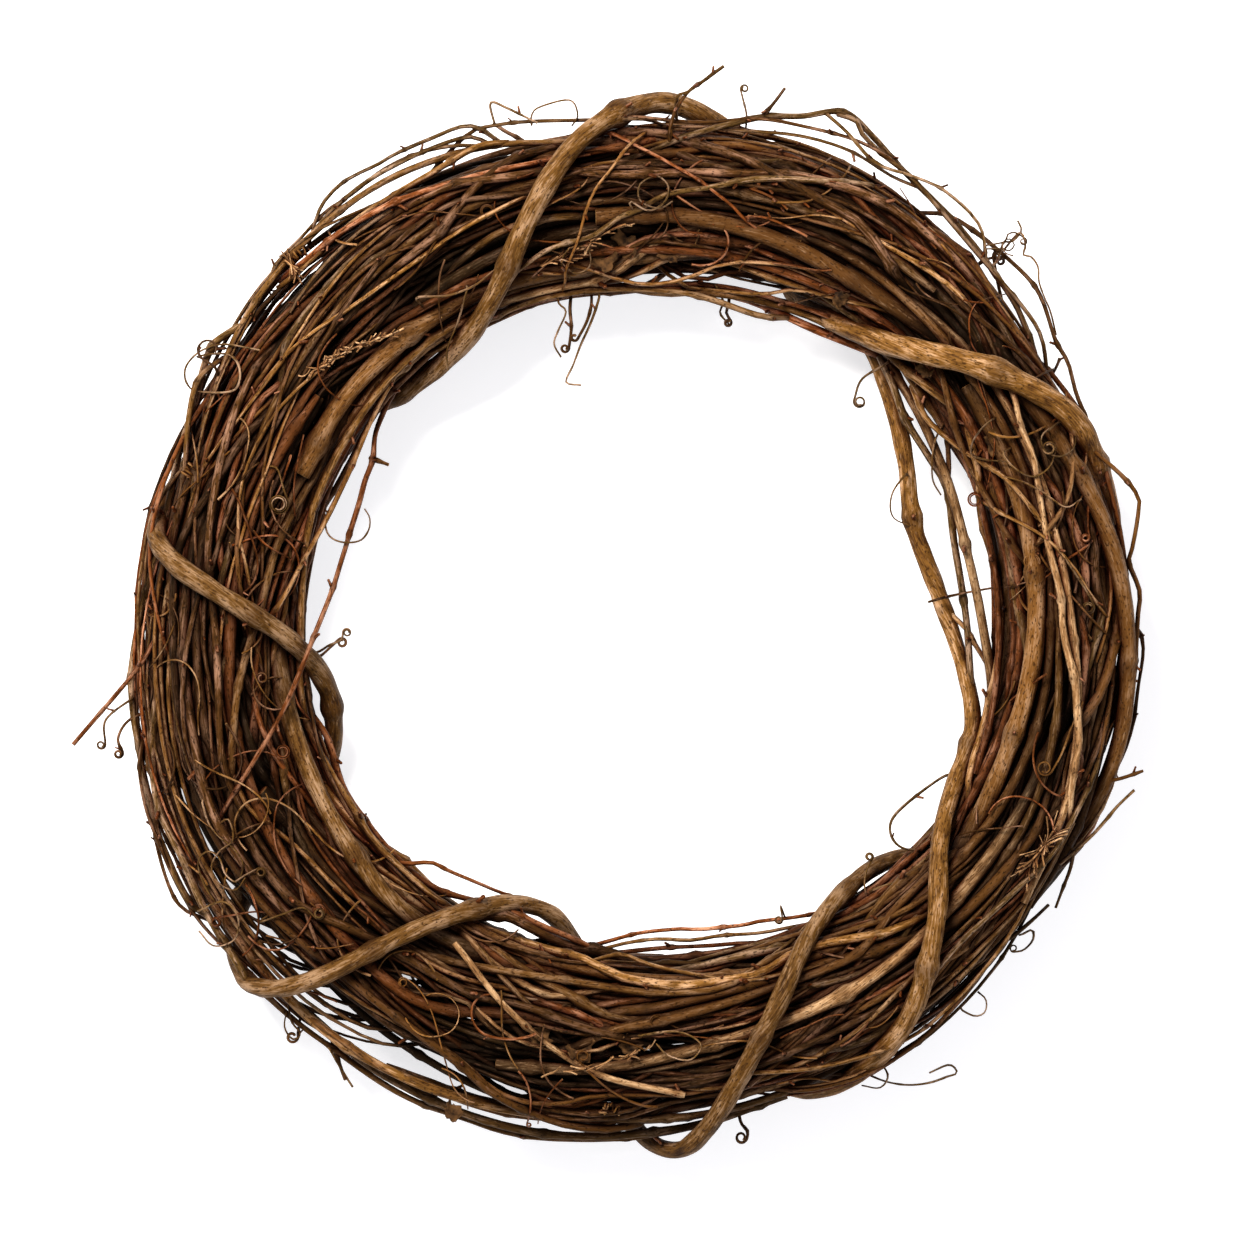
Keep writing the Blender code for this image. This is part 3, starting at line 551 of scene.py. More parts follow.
for i in range(FINE_CANES, ALL_CANES):
    low, high, edge = LOOSE_EDGES[i % len(LOOSE_EDGES)]
    length = round(rng.uniform(0.45, 0.85) * (high - low) / STATION)
    start = round((low + rng.uniform(0, high - low - STATION * length)) / STATION) % STATIONS
    here = (start + np.arange(length)) % STATIONS
    share = rng.uniform(0.45, 1.35) * np.clip(steps_to_end(length) / 3, 0, 1)
    along = np.arange(length) * STATION * EDGE_MM_PER_DEGREE
    held[i, here] = True
    wanted[i, here, 0] = (edge - 7 + share * (middles[here] + halves[here] - edge + 7)
                          + slow_wave(rng, along, 150, 1.6))
    wanted[i, here, 1] = MIDDLE_HEIGHT + rng.gauss(3, 9) + slow_wave(rng, along, 150, 3)
    routes.append(here)
    thicknesses.append(rng.uniform(0.65, 1.2))
    limits.append(1.16)
thicknesses = np.array(thicknesses)
limits = np.array(limits)[:, None]
free = (np.arange(ALL_CANES) < FINE_CANES)[:, None]
gap_keeping = (np.arange(ALL_CANES) % 9 > 0)[:, None]


def crossed(canes, angle):
    """The distances, heights and radii of canes where they pass an angle."""
    points = np.vstack([cane[:, :4] for cane in canes])
    points = points[np.abs((turns_of(points) - angle + 180) % 360 - 180) < 0.8]
    return np.hypot(points[:, 0], points[:, 1]), points[:, 2], points[:, 3]


members, neighbours, laid = [], [], []
for i, angle in enumerate(angles):
    distance, height, size = crossed(standing_canes, angle)
    neighbours.append((np.column_stack([distance, height]), size))
    members.append(np.flatnonzero(held[:, i]))
    laid.append(crossed(upper_canes, angle))

places = wanted
for turn in range(PUSHES):
    push = np.zeros_like(places)
    for i in range(STATIONS):
        own = places[members[i], i]
        own_size = thicknesses[members[i]]
        for others, sizes, share in ((own, own_size, 0.5), (*neighbours[i], 0.9)):
            gap = own[:, None] - others[None]
            far = np.linalg.norm(gap, axis=2) + 1e-6
            short = np.maximum(own_size[:, None] + sizes[None] + 0.1 - far, 0) * (far > 1e-5)
            push[members[i], i] += (gap * (share * short / far)[..., None]).sum(axis=1)
        # What lies on top stays in sight, because the others pass below it.
        for distance, height, size in zip(*laid[i]):
            over = np.abs(own[:, 0] - distance) < size + own_size + 0.5
            too_high = np.maximum(own[:, 1] + own_size + size - height, 0) * over * (height > TOP_LAYER)
            push[members[i], i, 1] -= 0.5 * np.minimum(too_high, 6) * free[members[i], 0]
    length = np.linalg.norm(push, axis=2, keepdims=True)
    places += push * np.minimum(1, 2.5 / (length + 1e-6)) * 0.8
    for low, high, near, far in OPEN_GAPS:
        inside = held & (angles >= low) & (angles <= high) & gap_keeping
        inside &= (places[..., 0] > near) & (places[..., 0] < far)
        places[..., 0] += np.where(inside, np.sign(places[..., 0] - (near + far) / 2) * 1.5, 0)
    for low, high, edge in LOOSE_EDGES:
        outside = held & ((angles - low) % 360 < high - low) & free & (places[..., 0] > edge)
        places[..., 0] -= np.where(outside, np.minimum(places[..., 0] - edge, 2), 0)
    both = (np.roll(held, 1, axis=1) & held & np.roll(held, -1, axis=1))[..., None]
    smoothed = (np.roll(places, 1, axis=1) + np.roll(places, -1, axis=1)) / 2
    places = np.where(both, places + 0.45 * (smoothed - places), places)
    u = (places[..., 0] - middles) / halves
    v = (places[..., 1] - MIDDLE_HEIGHT) / HALF_HEIGHT
    beyond = np.maximum(np.hypot(u, v + 0.05 * np.maximum(v, 0)) / limits, 1)
    places[..., 0] = middles + halves * u / beyond
    places[..., 1] = MIDDLE_HEIGHT + HALF_HEIGHT * v / beyond

GROUPS = ("red_brown", "tan", "dark", "grey_brown", "red_brown", "dark", "red_brown", "grey_brown", "tan",
          "dark", "red_brown", "pale", "grey_brown", "red_brown", "dark", "tan")
THIN_SECTIONS = [cane_section(f"thin_cane_section_{i}", 6, (2,), 0.06) for i in range(2)]
THIN_CANE = 1.45
groups = [[] for bark in GROUPS]
fine_lines = []
for i, here in enumerate(routes):
    turn = np.radians(angles[here])
    distance, height = places[i, here].T
    line = smooth_line(np.column_stack([distance * np.cos(turn), distance * np.sin(turn), height]), 1.5)
    fine_lines.append(line[::2])
    taper = np.linspace(1.12, 0.72, len(line)) if i % 2 else np.linspace(0.72, 1.12, len(line))
    rng = random.Random(1000 + i)
    sections = THIN_SECTIONS if thicknesses[i] < THIN_CANE else FINE_SECTIONS
    groups[i % len(GROUPS)].append(grow_cane(line, thicknesses[i] * taper, rng.choice(sections), rng,
                                             knots=46, swelling=0.34, zigzag=0.65, spacing=9.5))
for i, (bark, canes) in enumerate(zip(GROUPS, groups)):
    finish_canes(f"fine_canes_{i + 1:02d}", canes, f"{bark}_bark")

# Loose canes and side shoots
# Thin canes that slipped out of the bundle or lie over it, each traced through places in the photograph's
# pixels. A cane has heights, spread evenly along it, or lies on the bundle with a lift.

PIXEL = 0.444
RING_PIXEL = (637, 625)
# How far away the cane that an end is tucked into may be, and how far a loose cane runs on to reach it.
HOST_REACH = 18
RUN_ON = 14


def bundle_top(line, lift):
    """The height of the bundle's upper skin at each point, with a lift."""
    middle, half = ring_section(turns_of(line))
    u = np.clip(np.abs(np.hypot(line[:, 0], line[:, 1]) - middle) / half, 0, 0.93)
    return MIDDLE_HEIGHT + HALF_HEIGHT * np.sqrt(1 - u ** 2) + lift


def gather(lines):
    """A search tree of the points of canes that others can be tucked into or grow from."""
    points = np.vstack([line[:, :3] for line in lines])
    tree = KDTree(len(points))
    for i, point in enumerate(points):
        tree.insert(point, i)
    tree.balance()
    return tree


def tucked(line, hosts, run_on):
    """A line whose start is led to the cane that is nearest when it runs on a little further and down."""
    ahead = line[0] - line[1]
    found, _, off = hosts.find(line[0] + run_on * ahead / np.linalg.norm(ahead) - (0, 0, run_on / 3))
    return np.vstack([found, line]) if off < HOST_REACH else line


def from_photo(places, heights, spacing, hosts, run_on=0):
    """A smooth line through places in the photograph's pixels, which grows from the nearest cane. With a
    length to run on, both its ends are tucked into the bundle."""
    line = (np.array(places, float) - RING_PIXEL) * (PIXEL, -PIXEL)
    line = np.column_stack([line, np.zeros(len(line))])
    if isinstance(heights, tuple):
        share = np.linspace(0, 1, len(heights))
        line[:, 2] = np.interp(np.linspace(0, 1, len(line)), share, heights)
    else:
        line[:, 2] = bundle_top(line, heights)
    line = tucked(line, hosts, run_on)
    if run_on:
        line = tucked(line[::-1], hosts, run_on)[::-1]
    return smooth_line(line, spacing)


LOOSE_CANES = (
    # bark, radius at the start and end, heights or lift, places
    ("grey_brown", 1.1, 0.8, (54, 50, 46, 48), ((462, 140), (385, 172), (338, 205), (300, 248), (262, 285),
     (228, 335), (203, 390), (192, 440), (185, 480))),
    ("grey_brown", 1.7, 1.5, (52, 46, 40, 40, 46), ((213, 350), (196, 400), (180, 450), (168, 520),
     (158, 555), (145, 588), (136, 633), (132, 677), (133, 722), (141, 767), (149, 796), (163, 845),
     (186, 900))),
    ("grey_brown", 1.3, 1.5, (56, 50, 44, 42, 48), ((201, 380), (190, 420), (184, 480), (175, 530),
     (167, 558), (158, 610), (154, 659), (152, 707), (150, 752), (152, 774), (171, 785), (193, 819),
     (204, 848), (227, 874))),
    ("grey_brown", 2.0, 1.8, (60, 55, 50, 52), ((200, 480), (195, 530), (189, 566), (182, 603), (171, 640),
     (158, 677), (154, 715), (152, 752), (160, 800), (178, 850), (200, 900), (232, 950))),
    ("dark", 1.0, 0.9, (40, 34, 30, 34), ((150, 560), (139, 610), (142, 660), (158, 700), (160, 750),
     (150, 810), (158, 860), (178, 905))),
    ("dark", 0.9, 0.7, (50, 44, 40), ((141, 770), (148, 815), (170, 870), (196, 915), (222, 946),
     (262, 985), (300, 1018))),
    ("grey_brown", 1.5, 1.1, (40, 36, 34, 36), ((262, 990), (300, 1026), (345, 1060), (400, 1094),
     (460, 1118), (510, 1136), (560, 1141), (620, 1139), (665, 1133))),
    ("tan", 1.2, 0.9, (50, 46, 44), ((330, 1030), (390, 1072), (450, 1098), (520, 1115), (600, 1122),
     (670, 1120), (730, 1110))),
    ("dark", 1.1, 0.9, (44, 50, 46), ((947, 213), (974, 229), (998, 250), (1025, 277), (1041, 301),
     (1055, 339), (1068, 363), (1076, 395), (1090, 430))),
    ("grey_brown", 1.2, 0.9, (62, 60, 54), ((856, 122), (862, 135), (886, 159), (910, 178), (934, 207),
     (977, 256), (1017, 301), (1040, 335))),
    ("grey_brown", 0.9, 0.7, (64, 62, 58), ((846, 134), (875, 165), (910, 178), (944, 194), (978, 226))),
    ("dark", 0.9, 1.2, (56, 54, 50, 46), ((1070, 425), (1089, 448), (1117, 474), (1136, 498), (1136, 518),
     (1132, 546), (1129, 563), (1139, 591), (1137, 615), (1135, 640), (1130, 700))),
    ("pale", 1.3, 1.9, 1.5, ((1012, 395), (1020, 430), (1030, 457), (1034, 492), (1041, 528), (1047, 554),
     (1058, 594), (1059, 626), (1063, 654), (1069, 680), (1073, 713), (1076, 745), (1070, 790))),
    ("pale", 1.3, 0.8, 1.5, ((1043, 530), (1058, 511), (1067, 489), (1071, 459), (1068, 425))),
    ("tan", 1.5, 1.0, 2.5, ((926, 418), (948, 440), (969, 457), (1002, 479), (1019, 496), (1036, 517))),
    ("tan", 0.8, 0.7, 2.5, ((1000, 513), (1019, 524), (1037, 535), (1052, 548), (1073, 572), (1086, 592))),
    ("grey_brown", 1.8, 1.6, (44, 42, 40, 38), ((895, 385), (908, 420), (930, 459), (945, 489), (954, 541),
     (965, 593), (969, 628), (971, 680), (975, 710))),
    ("grey_brown", 1.3, 1.1, (44, 42, 41), ((944, 398), (947, 430), (949, 463), (949, 492))),
    ("pale", 1.2, 1.0, (40, 38), ((969, 630), (974, 640), (984, 657), (993, 673))),
    ("red_brown", 1.2, 1.0, (38, 36, 36), ((966, 440), (980, 474), (989, 518), (993, 572), (995, 615),
     (995, 659), (990, 690))),
    ("dark", 0.6, 0.45, (46, 44, 44), ((928, 602), (950, 596), (980, 590), (1012, 585))),
    ("grey_brown", 1.0, 1.6, 2.0, ((519, 272), (549, 253), (592, 240), (618, 221), (642, 210), (667, 197),
     (715, 191), (736, 187), (768, 183), (840, 184))),
    ("dark", 2.6, 2.4, (50, 46, 44), ((503, 912), (540, 932), (572, 948), (612, 955), (640, 964),
     (676, 967), (760, 952))),
    ("red_brown", 1.0, 0.8, (54, 50, 44), ((414, 862), (432, 861), (452, 871), (480, 884), (497, 892))),
    ("red_brown", 1.0, 0.8, (44, 46, 46, 50), ((590, 945), (612, 939), (640, 932), (680, 929), (700, 930),
     (740, 926), (760, 921), (800, 915), (850, 903), (880, 888))),
    ("tan", 0.9, 0.9, (46, 48, 46, 46), ((600, 948), (630, 941), (660, 938), (690, 940), (720, 936),
     (760, 933), (790, 927), (850, 915))),
    ("red_brown", 1.1, 0.9, (44, 44, 46, 46), ((612, 952), (645, 950), (680, 948), (715, 945), (740, 942),
     (770, 941), (800, 935), (860, 920))),
    ("dark", 1.3, 1.0, (42, 42, 44), ((560, 938), (600, 952), (650, 959), (700, 957), (760, 948),
     (830, 930))),
    ("tan", 1.0, 0.8, 1.5, ((585, 960), (620, 952), (648, 962), (690, 972), (740, 978), (800, 966))),
    ("grey_brown", 1.0, 0.9, (50, 47, 50), ((420, 955), (460, 985), (510, 1003), (560, 1012), (610, 1010),
     (660, 1004), (720, 1002), (770, 990))),
    ("tan", 0.8, 0.7, (46, 44, 46), ((470, 968), (520, 985), (575, 992), (630, 990), (690, 984),
     (750, 982))),
    ("red_brown", 0.9, 0.8, (44, 42, 44), ((600, 1000), (650, 1008), (700, 1012), (750, 1008), (800, 994))),
    ("red_brown", 1.5, 1.3, (50, 48, 50), ((330, 740), (345, 790), (372, 830), (405, 865), (440, 888),
     (490, 905), (540, 925), (580, 940))),
    ("tan", 1.5, 1.2, (52, 50, 50), ((760, 318), (700, 295), (650, 290), (590, 292), (530, 302), (480, 324),
     (440, 350))),
    ("red_brown", 1.2, 1.0, (48, 46, 48), ((880, 345), (830, 318), (790, 303), (740, 290), (690, 285),
     (640, 284), (590, 286), (540, 296))),
    ("red_brown", 1.6, 1.1, 2.0, ((303, 262), (330, 240), (362, 222), (400, 205), (440, 190), (500, 172),
     (560, 160))),
    ("tan", 1.4, 1.0, 3.0, ((392, 385), (370, 425), (344, 484), (322, 530), (300, 570), (283, 600))),
    ("tan", 0.75, 0.55, 3.5, ((630, 148), (612, 172), (596, 192), (586, 214), (578, 244), (567, 272),
     (566, 285))),
    ("red_brown", 0.9, 0.7, 2.5, ((610, 134), (640, 150), (668, 166), (700, 186), (730, 208), (742, 220))),
    ("grey_brown", 1.0, 0.8, (50, 56, 60, 60), ((442, 160), (470, 134), (492, 128), (530, 124), (580, 122),
     (640, 120))),
    ("dark", 0.9, 0.8, (60, 64, 62), ((640, 118), (700, 124), (760, 122), (800, 128), (850, 140),
     (886, 158))),
    ("grey_brown", 0.9, 0.8, (60, 60, 56), ((690, 128), (740, 133), (800, 138), (850, 152), (890, 176))),
    ("grey_brown", 1.0, 0.8, (56, 52, 48, 50), ((470, 128), (430, 140), (398, 153), (378, 165), (352, 178),
     (333, 193), (320, 212))),
    ("grey_brown", 0.9, 0.8, (54, 50, 48, 52), ((455, 148), (420, 155), (385, 170), (350, 196), (325, 212),
     (300, 240), (280, 262))),
    ("tan", 1.5, 1.2, (60, 60, 58, 56), ((480, 150), (440, 172), (400, 192), (362, 217), (330, 245),
     (302, 272))),
    ("grey_brown", 1.4, 1.0, 2.5, ((1095, 770), (1075, 810), (1050, 850), (1020, 880), (985, 915),
     (950, 950), (920, 985))),
    ("dark", 0.9, 0.7, (40, 38, 40), ((1144, 640), (1138, 690), (1128, 745), (1108, 790), (1085, 840),
     (1060, 870))),
)

bundle_hosts = gather(standing_canes + fine_lines)
loose_canes, loose_lines = {}, []
for i, (bark, start, end, heights, traced) in enumerate(LOOSE_CANES):
    rng = random.Random(500 + i)
    line = from_photo(traced, heights, 1.5, bundle_hosts, RUN_ON)
    loose_lines.append(line)
    cane = grow_cane(line, np.linspace(start, end, len(line)), rng.choice(FINE_SECTIONS), rng, knots=38,
                     swelling=0.4, zigzag=0.7, spacing=5)
    loose_canes.setdefault(bark, []).append(cane)
for bark, canes in loose_canes.items():
    finish_canes(f"loose_{bark}_canes", canes, f"{bark}_bark")

# Tendrils
# The vine's climbing tendrils, about a millimetre thick, dried hard. Some stand out of the ring where the
# frame has them, the rest lie over it, and many end in a coil.

TENDRIL_SECTION = cane_section("tendril_section", 6, (2,), 0.08)
FRAME_TENDRILS = (
    # angle, side, radius, steps along, outwards and up, the coil's radius and turns
    (282.5, "outer", 0.75, ((0, 5, 1), (2, 9, 3), (1, 12, 5)), 3.0, 1.1),
    (229.5, "outer", 0.75, ((3, 5, 1), (6, 9, 2)), 2.6, 0.9),
    (234, "outer", 1.0, ((5, 4, 2), (11, 8, 4), (17, 12, 5)), 0, 0),
    (189.5, "outer", 0.75, ((0, 7, 1), (3, 13, 2), (9, 17, 3), (15, 16, 3)), 1.8, 1.2),
    (150, "outer", 0.7, ((-3, 4, 5), (-3, 9, 8)), 6.0, 0.75),
    (102, "outer", 1.1, ((4, 4, 3), (9, 8, 4), (14, 13, 5)), 0, 0),
    (39, "outer", 0.9, ((6, 4, 4), (16, 9, 6), (25, 14, 7)), 2.2, 1.2),
    (46.5, "outer", 0.9, ((-1, 5, 2), (-2, 11, 4), (-6, 16, 5)), 1.8, 0.9),
    (30, "outer", 0.9, ((1, 4, 2), (3, 8, 4), (6, 12, 5)), 0, 0),
    (341, "outer", 0.9, ((3, 5, 4), (6, 9, 6), (10, 14, 7)), 0, 0),
    (101.5, "inner", 0.8, ((2, 7, 0), (3, 15, 0), (6, 24, -1)), 1.8, 1.1),
    (97.5, "inner", 0.8, ((1, 7, 2), (4, 14, 3), (9, 21, 3)), 1.6, 0.8),
    (74, "inner", 0.75, ((-1, 4, 1), (-1, 8, 1), (-4, 11, 1)), 1.6, 1.0),
    (186, "inner", 0.75, ((-2, 9, 6), (-6, 15, 7), (-9, 19, 7)), 2.0, 1.2),
)
SIDE_TWIGS = (
    # radius at the root and the tip, and places by angle, distance and height
    (0.9, 0.7, ((86.3, 213.5, 61.7), (86, 224, 65), (84.5, 236.5, 67), (82.8, 243, 68), (81.2, 249.6, 69))),
    (1.0, 0.8, ((76.3, 230.5, 61.8), (75.3, 238.5, 63), (74.6, 246, 64))),
    (0.9, 0.8, ((148, 140, 49), (147.5, 134.5, 51), (147.2, 131, 52))),
)


def host_of(angle, side):
    """The ring cane's point that lies furthest to one side at an angle."""
    near = np.vstack([cane[:, :3] for cane in ring_canes])
    near = near[np.abs((turns_of(near) - angle + 180) % 360 - 180) < 0.8]
    reach = np.hypot(near[:, 0], near[:, 1]) * (1 if side == "outer" else -1)
    return near[reach.argmax()]


def add_coil(line, radius, turns, rng, rise=2.2, tighter=0.45):
    """Ends a line in a shrinking coil, to its right or, with random draws, to either side."""
    heading = line[-1] - line[-2]
    heading /= np.linalg.norm(heading)
    aside = np.cross(heading, (0, 0, 1)) * (1 if rng is None or rng.random() < 0.5 else -1)
    count = round(16 * turns)
    share = np.arange(1, count + 1)[:, None] / count
    bend = 2 * math.pi * turns * share
    curl = radius * (1 - tighter * share) * (np.sin(bend) * heading - np.cos(bend) * aside)
    return np.vstack([line, line[-1] + radius * aside + curl + share * (0, 0, rise)])


def grow_tendril(line, radius, tip, rng, knots=30, swelling=0.25, lumps=0.1):
    """A thin cane that isn't bent at its nodes and narrows to a share of its radius at the tip."""
    return grow_cane(line, np.linspace(radius, tip * radius, len(line)), TENDRIL_SECTION, rng, knots=knots,
                     swelling=swelling, zigzag=0, lumps=lumps)


tendrils = []
for angle, side, radius, steps, coil, turns in FRAME_TENDRILS:
    root = host_of(angle, side)
    outward = np.array(ring_place(angle, 1 if side == "outer" else -1, 0))
    along = np.array(ring_place(angle + 90, 1, 0))
    places = [root + a * along + o * outward + np.array((0, 0, u)) for a, o, u in steps]
    line = smooth_line([root, *places], 2)
    if coil:
        line = add_coil(line, coil, turns, None)
    tendrils.append(grow_tendril(line, radius, 0.75, random.Random(angle), knots=25, swelling=0.35))
for start, end, traced in SIDE_TWIGS:
    line = smooth_line([ring_place(*place) for place in traced], 2)
    tendrils.append(grow_cane(line, np.linspace(start, end, len(line)), TENDRIL_SECTION, random.Random(start),
                              knots=14, swelling=0.5, zigzag=0.6))
finish_canes("standing_tendrils", tendrils, "dark_bark")

TRACED_TENDRILS = (
    # radius, heights or lift, coil radius and turns, places
    (0.85, (54, 50, 48, 46), 0, 0, ((1060, 862), (1088, 838), (1105, 820), (1117, 806), (1134, 790))),
    (0.95, (54, 50, 46, 42), 0, 0, ((980, 955), (1009, 938), (1030, 922), (1049, 905))),
    (0.85, (52, 46, 42), 0, 0, ((1072, 850), (1070, 868), (1063, 888), (1056, 908))),
    (0.5, (46, 44, 42, 44), 1.8, 1.1, ((1020, 935), (1032, 930), (1033, 940), (1024, 950), (1014, 952))),
    (0.5, (46, 44, 42), 0, 0, ((962, 1010), (975, 1016), (985, 1012), (986, 1000), (978, 992))),
    (0.6, (40, 36, 34, 36), 0, 0, ((862, 1072), (885, 1082), (908, 1086), (930, 1084), (948, 1078),
     (958, 1074), (950, 1066), (930, 1074))),
    (0.5, (50, 52, 50), 1.7, 1.8, ((868, 905), (864, 885), (866, 870), (872, 858))),
    (0.5, (56, 60, 58), 1.8, 1.4, ((780, 905), (782, 918))),
    (0.5, 3, 0, 0, ((205, 800), (212, 822), (222, 835), (236, 846), (246, 862), (240, 880), (228, 872),
     (222, 856), (210, 850), (200, 862), (206, 884), (216, 900))),
    (0.45, 3.5, 0, 0, ((232, 818), (236, 838), (222, 850), (214, 866), (222, 882), (238, 888), (248, 876))),
    (0.5, 3, 2.2, 1.8, ((238, 880), (250, 872), (262, 866))),
    (0.5, 3.5, 0, 0, ((630, 205), (648, 214), (664, 206), (668, 190), (656, 180), (640, 188), (640, 204),
     (658, 212), (672, 205))),
    (0.45, 3, 0, 0, ((560, 262), (575, 275), (590, 268), (588, 252), (572, 250), (562, 264), (570, 280))),
    (0.55, 3, 0, 0, ((199, 357), (229, 355), (242, 371), (236, 392), (199, 392), (188, 384), (186, 371),
     (192, 360), (205, 350), (226, 345), (262, 352))),
    (0.6, 3, 0, 0, ((419, 300), (448, 298), (475, 288), (496, 272))),
    (0.5, 3, 0, 0, ((468, 292), (459, 322), (448, 349), (448, 371))),
    (0.5, (46, 50, 44, 40), 0, 0, ((905, 475), (893, 491), (890, 507), (895, 519), (912, 526))),
    (0.5, (52, 56, 50, 52), 0, 0, ((325, 511), (328, 533), (341, 542), (360, 541), (369, 530), (370, 518),
     (365, 509))),
    (0.55, (48, 54, 58), 2.2, 1.5, ((318, 652), (330, 645), (342, 640), (344, 632))),
    (0.5, 2, 4.5, 2.4, ((280, 470), (286, 490), (290, 502))),
    (0.8, (44, 42, 44, 48), 0, 0, ((945, 776), (920, 793), (897, 813), (890, 827), (894, 841), (906, 849),
     (930, 850))),
    (0.6, (48, 44, 42), 0, 0, ((599, 298), (591, 322), (581, 344), (573, 365), (566, 382), (581, 385))),
    (0.5, (48, 45, 43), 0, 0, ((559, 304), (566, 312), (558, 331), (554, 344), (561, 357))),
    (0.6, (48, 45, 44), 0, 0, ((715, 285), (723, 301), (720, 313), (729, 324))),
    (0.6, (50, 46, 44), 2.6, 1.4, ((886, 364), (862, 379), (854, 400))),
    (0.8, (66, 68, 70), 0, 0, ((677, 100), (688, 95), (706, 82), (723, 70))),
    (0.6, (44, 42, 38, 36), 2.0, 1.2, ((130, 700), (105, 720), (104, 745))),
    (0.5, (62, 66, 60), 0, 0, ((532, 128), (532, 118), (540, 110), (570, 103), (578, 118), (572, 128))),
    (0.7, (60, 64, 66), 0, 0, ((491, 105), (508, 111), (538, 126))),
    (0.5, (42, 40, 38, 42), 0, 0, ((288, 1005), (291, 1022), (300, 1034), (292, 1040), (284, 1028),
     (286, 1012))),
    (0.6, (44, 40, 38), 0, 0, ((330, 1050), (341, 1070), (352, 1088))),
    (0.5, (50, 47, 46, 44), 0, 0, ((945, 420), (935, 440), (932, 462), (933, 481), (941, 495))),
    (0.5, 4, 3.2, 1.4, ((1000, 455), (1012, 470), (1030, 478), (1046, 468), (1052, 452))),
    (0.5, 4, 0, 0, ((1045, 432), (1060, 422), (1072, 432), (1070, 450), (1054, 458), (1040, 450),
     (1038, 438), (1046, 430))),
    (0.5, 4, 0, 0, ((984, 425), (972, 440), (970, 455), (985, 461), (1004, 463))),
    (0.5, 3, 0, 0, ((1003, 478), (1022, 484), (1040, 494), (1062, 508), (1078, 500))),
    (0.55, 3, 2.8, 2.0, ((1062, 560), (1072, 575), (1082, 590), (1090, 605))),
    (0.6, (52, 56, 58), 0, 0, ((996, 262), (1000, 250), (1003, 243), (1010, 243), (1016, 238), (1020, 231),
     (1016, 222))),
    (0.55, (58, 56, 52, 46), 0, 0, ((1018, 234), (1024, 246), (1022, 256), (1030, 258), (1037, 268),
     (1038, 282), (1043, 296), (1050, 312), (1056, 335))),
    (0.4, (57, 58, 57), 1.6, 1.6, ((1003, 243), (1006, 236), (1014, 234), (1024, 240))),
    (0.4, (56, 58, 56), 0, 0, ((1000, 250), (1008, 252), (1013, 246), (1007, 240), (1001, 245), (1004, 254),
     (1012, 257))),
    (0.5, (56, 60, 60), 1.8, 1.2, ((744, 140), (746, 118), (743, 104), (740, 92))),
    (0.5, 3, 0, 0, ((200, 910), (225, 900), (240, 915), (236, 938), (215, 945), (200, 930))),
    (0.5, 3, 2.4, 1.6, ((262, 920), (285, 912), (305, 905), (318, 915))),
    (0.5, 3, 0, 0, ((640, 1032), (676, 1028), (700, 1040), (690, 1056), (668, 1052), (656, 1040))),
    (0.5, (40, 44, 40), 0, 0, ((880, 1062), (888, 1076), (880, 1088), (862, 1086))),
)
cane_hosts = gather(standing_canes + fine_lines + loose_lines)
tendrils = []
for i, (radius, heights, coil, turns, traced) in enumerate(TRACED_TENDRILS):
    rng = random.Random(700 + i)
    line = from_photo(traced, heights, 1.8, cane_hosts)
    if coil:
        line = add_coil(line, coil, turns, rng)
    tendrils.append(grow_tendril(line, radius, 0.8, rng))
finish_canes("traced_tendrils", tendrils, "grey_brown_bark")

# The rest wander over the bundle: first along a gentle curve, then often into a coil.
WANDERING = 130
STRIDE = 2
groups = [[], [], []]
for i in range(WANDERING):
    rng = random.Random(3000 + i)
    angle = rng.uniform(0, 360)
    middle, half = ring_section(angle)
    steps = [np.array(ring_place(angle, middle + half * rng.uniform(-0.85, 0.95), 0))]
    heading = math.radians(angle + rng.choice((90, 270)) + rng.gauss(0, 26))
    bend = rng.choice((-1, 1)) * rng.uniform(0.004, 0.05)
    for step in range(rng.randrange(9, 34)):
        bend += rng.gauss(0, 0.012)
        heading += STRIDE * bend
        ahead = steps[-1] + STRIDE * np.array((math.cos(heading), math.sin(heading), 0))
        middle, half = ring_section(math.degrees(math.atan2(ahead[1], ahead[0])))
        if abs(math.hypot(ahead[0], ahead[1]) - middle) > half * 0.97:
            break
        steps.append(ahead)
    if len(steps) < 6:
        continue
    line = np.array(steps)
    line[:, 2] = bundle_top(line, 0.4) + slow_wave(rng, STRIDE * np.arange(len(line)), 40, 2.0)
    if rng.random() < 0.16:
        line = add_coil(line, rng.uniform(1.8, 4.2), rng.uniform(0.8, 2.4), rng, rng.uniform(0.5, 2.5))
    groups[i % 3].append(grow_tendril(line, rng.uniform(0.35, 0.7), 0.7, rng))
for i, bark in enumerate(("red_brown_bark", "tan_bark", "dark_bark")):
    finish_canes(f"wandering_tendrils_{i + 1}", groups[i], bark)

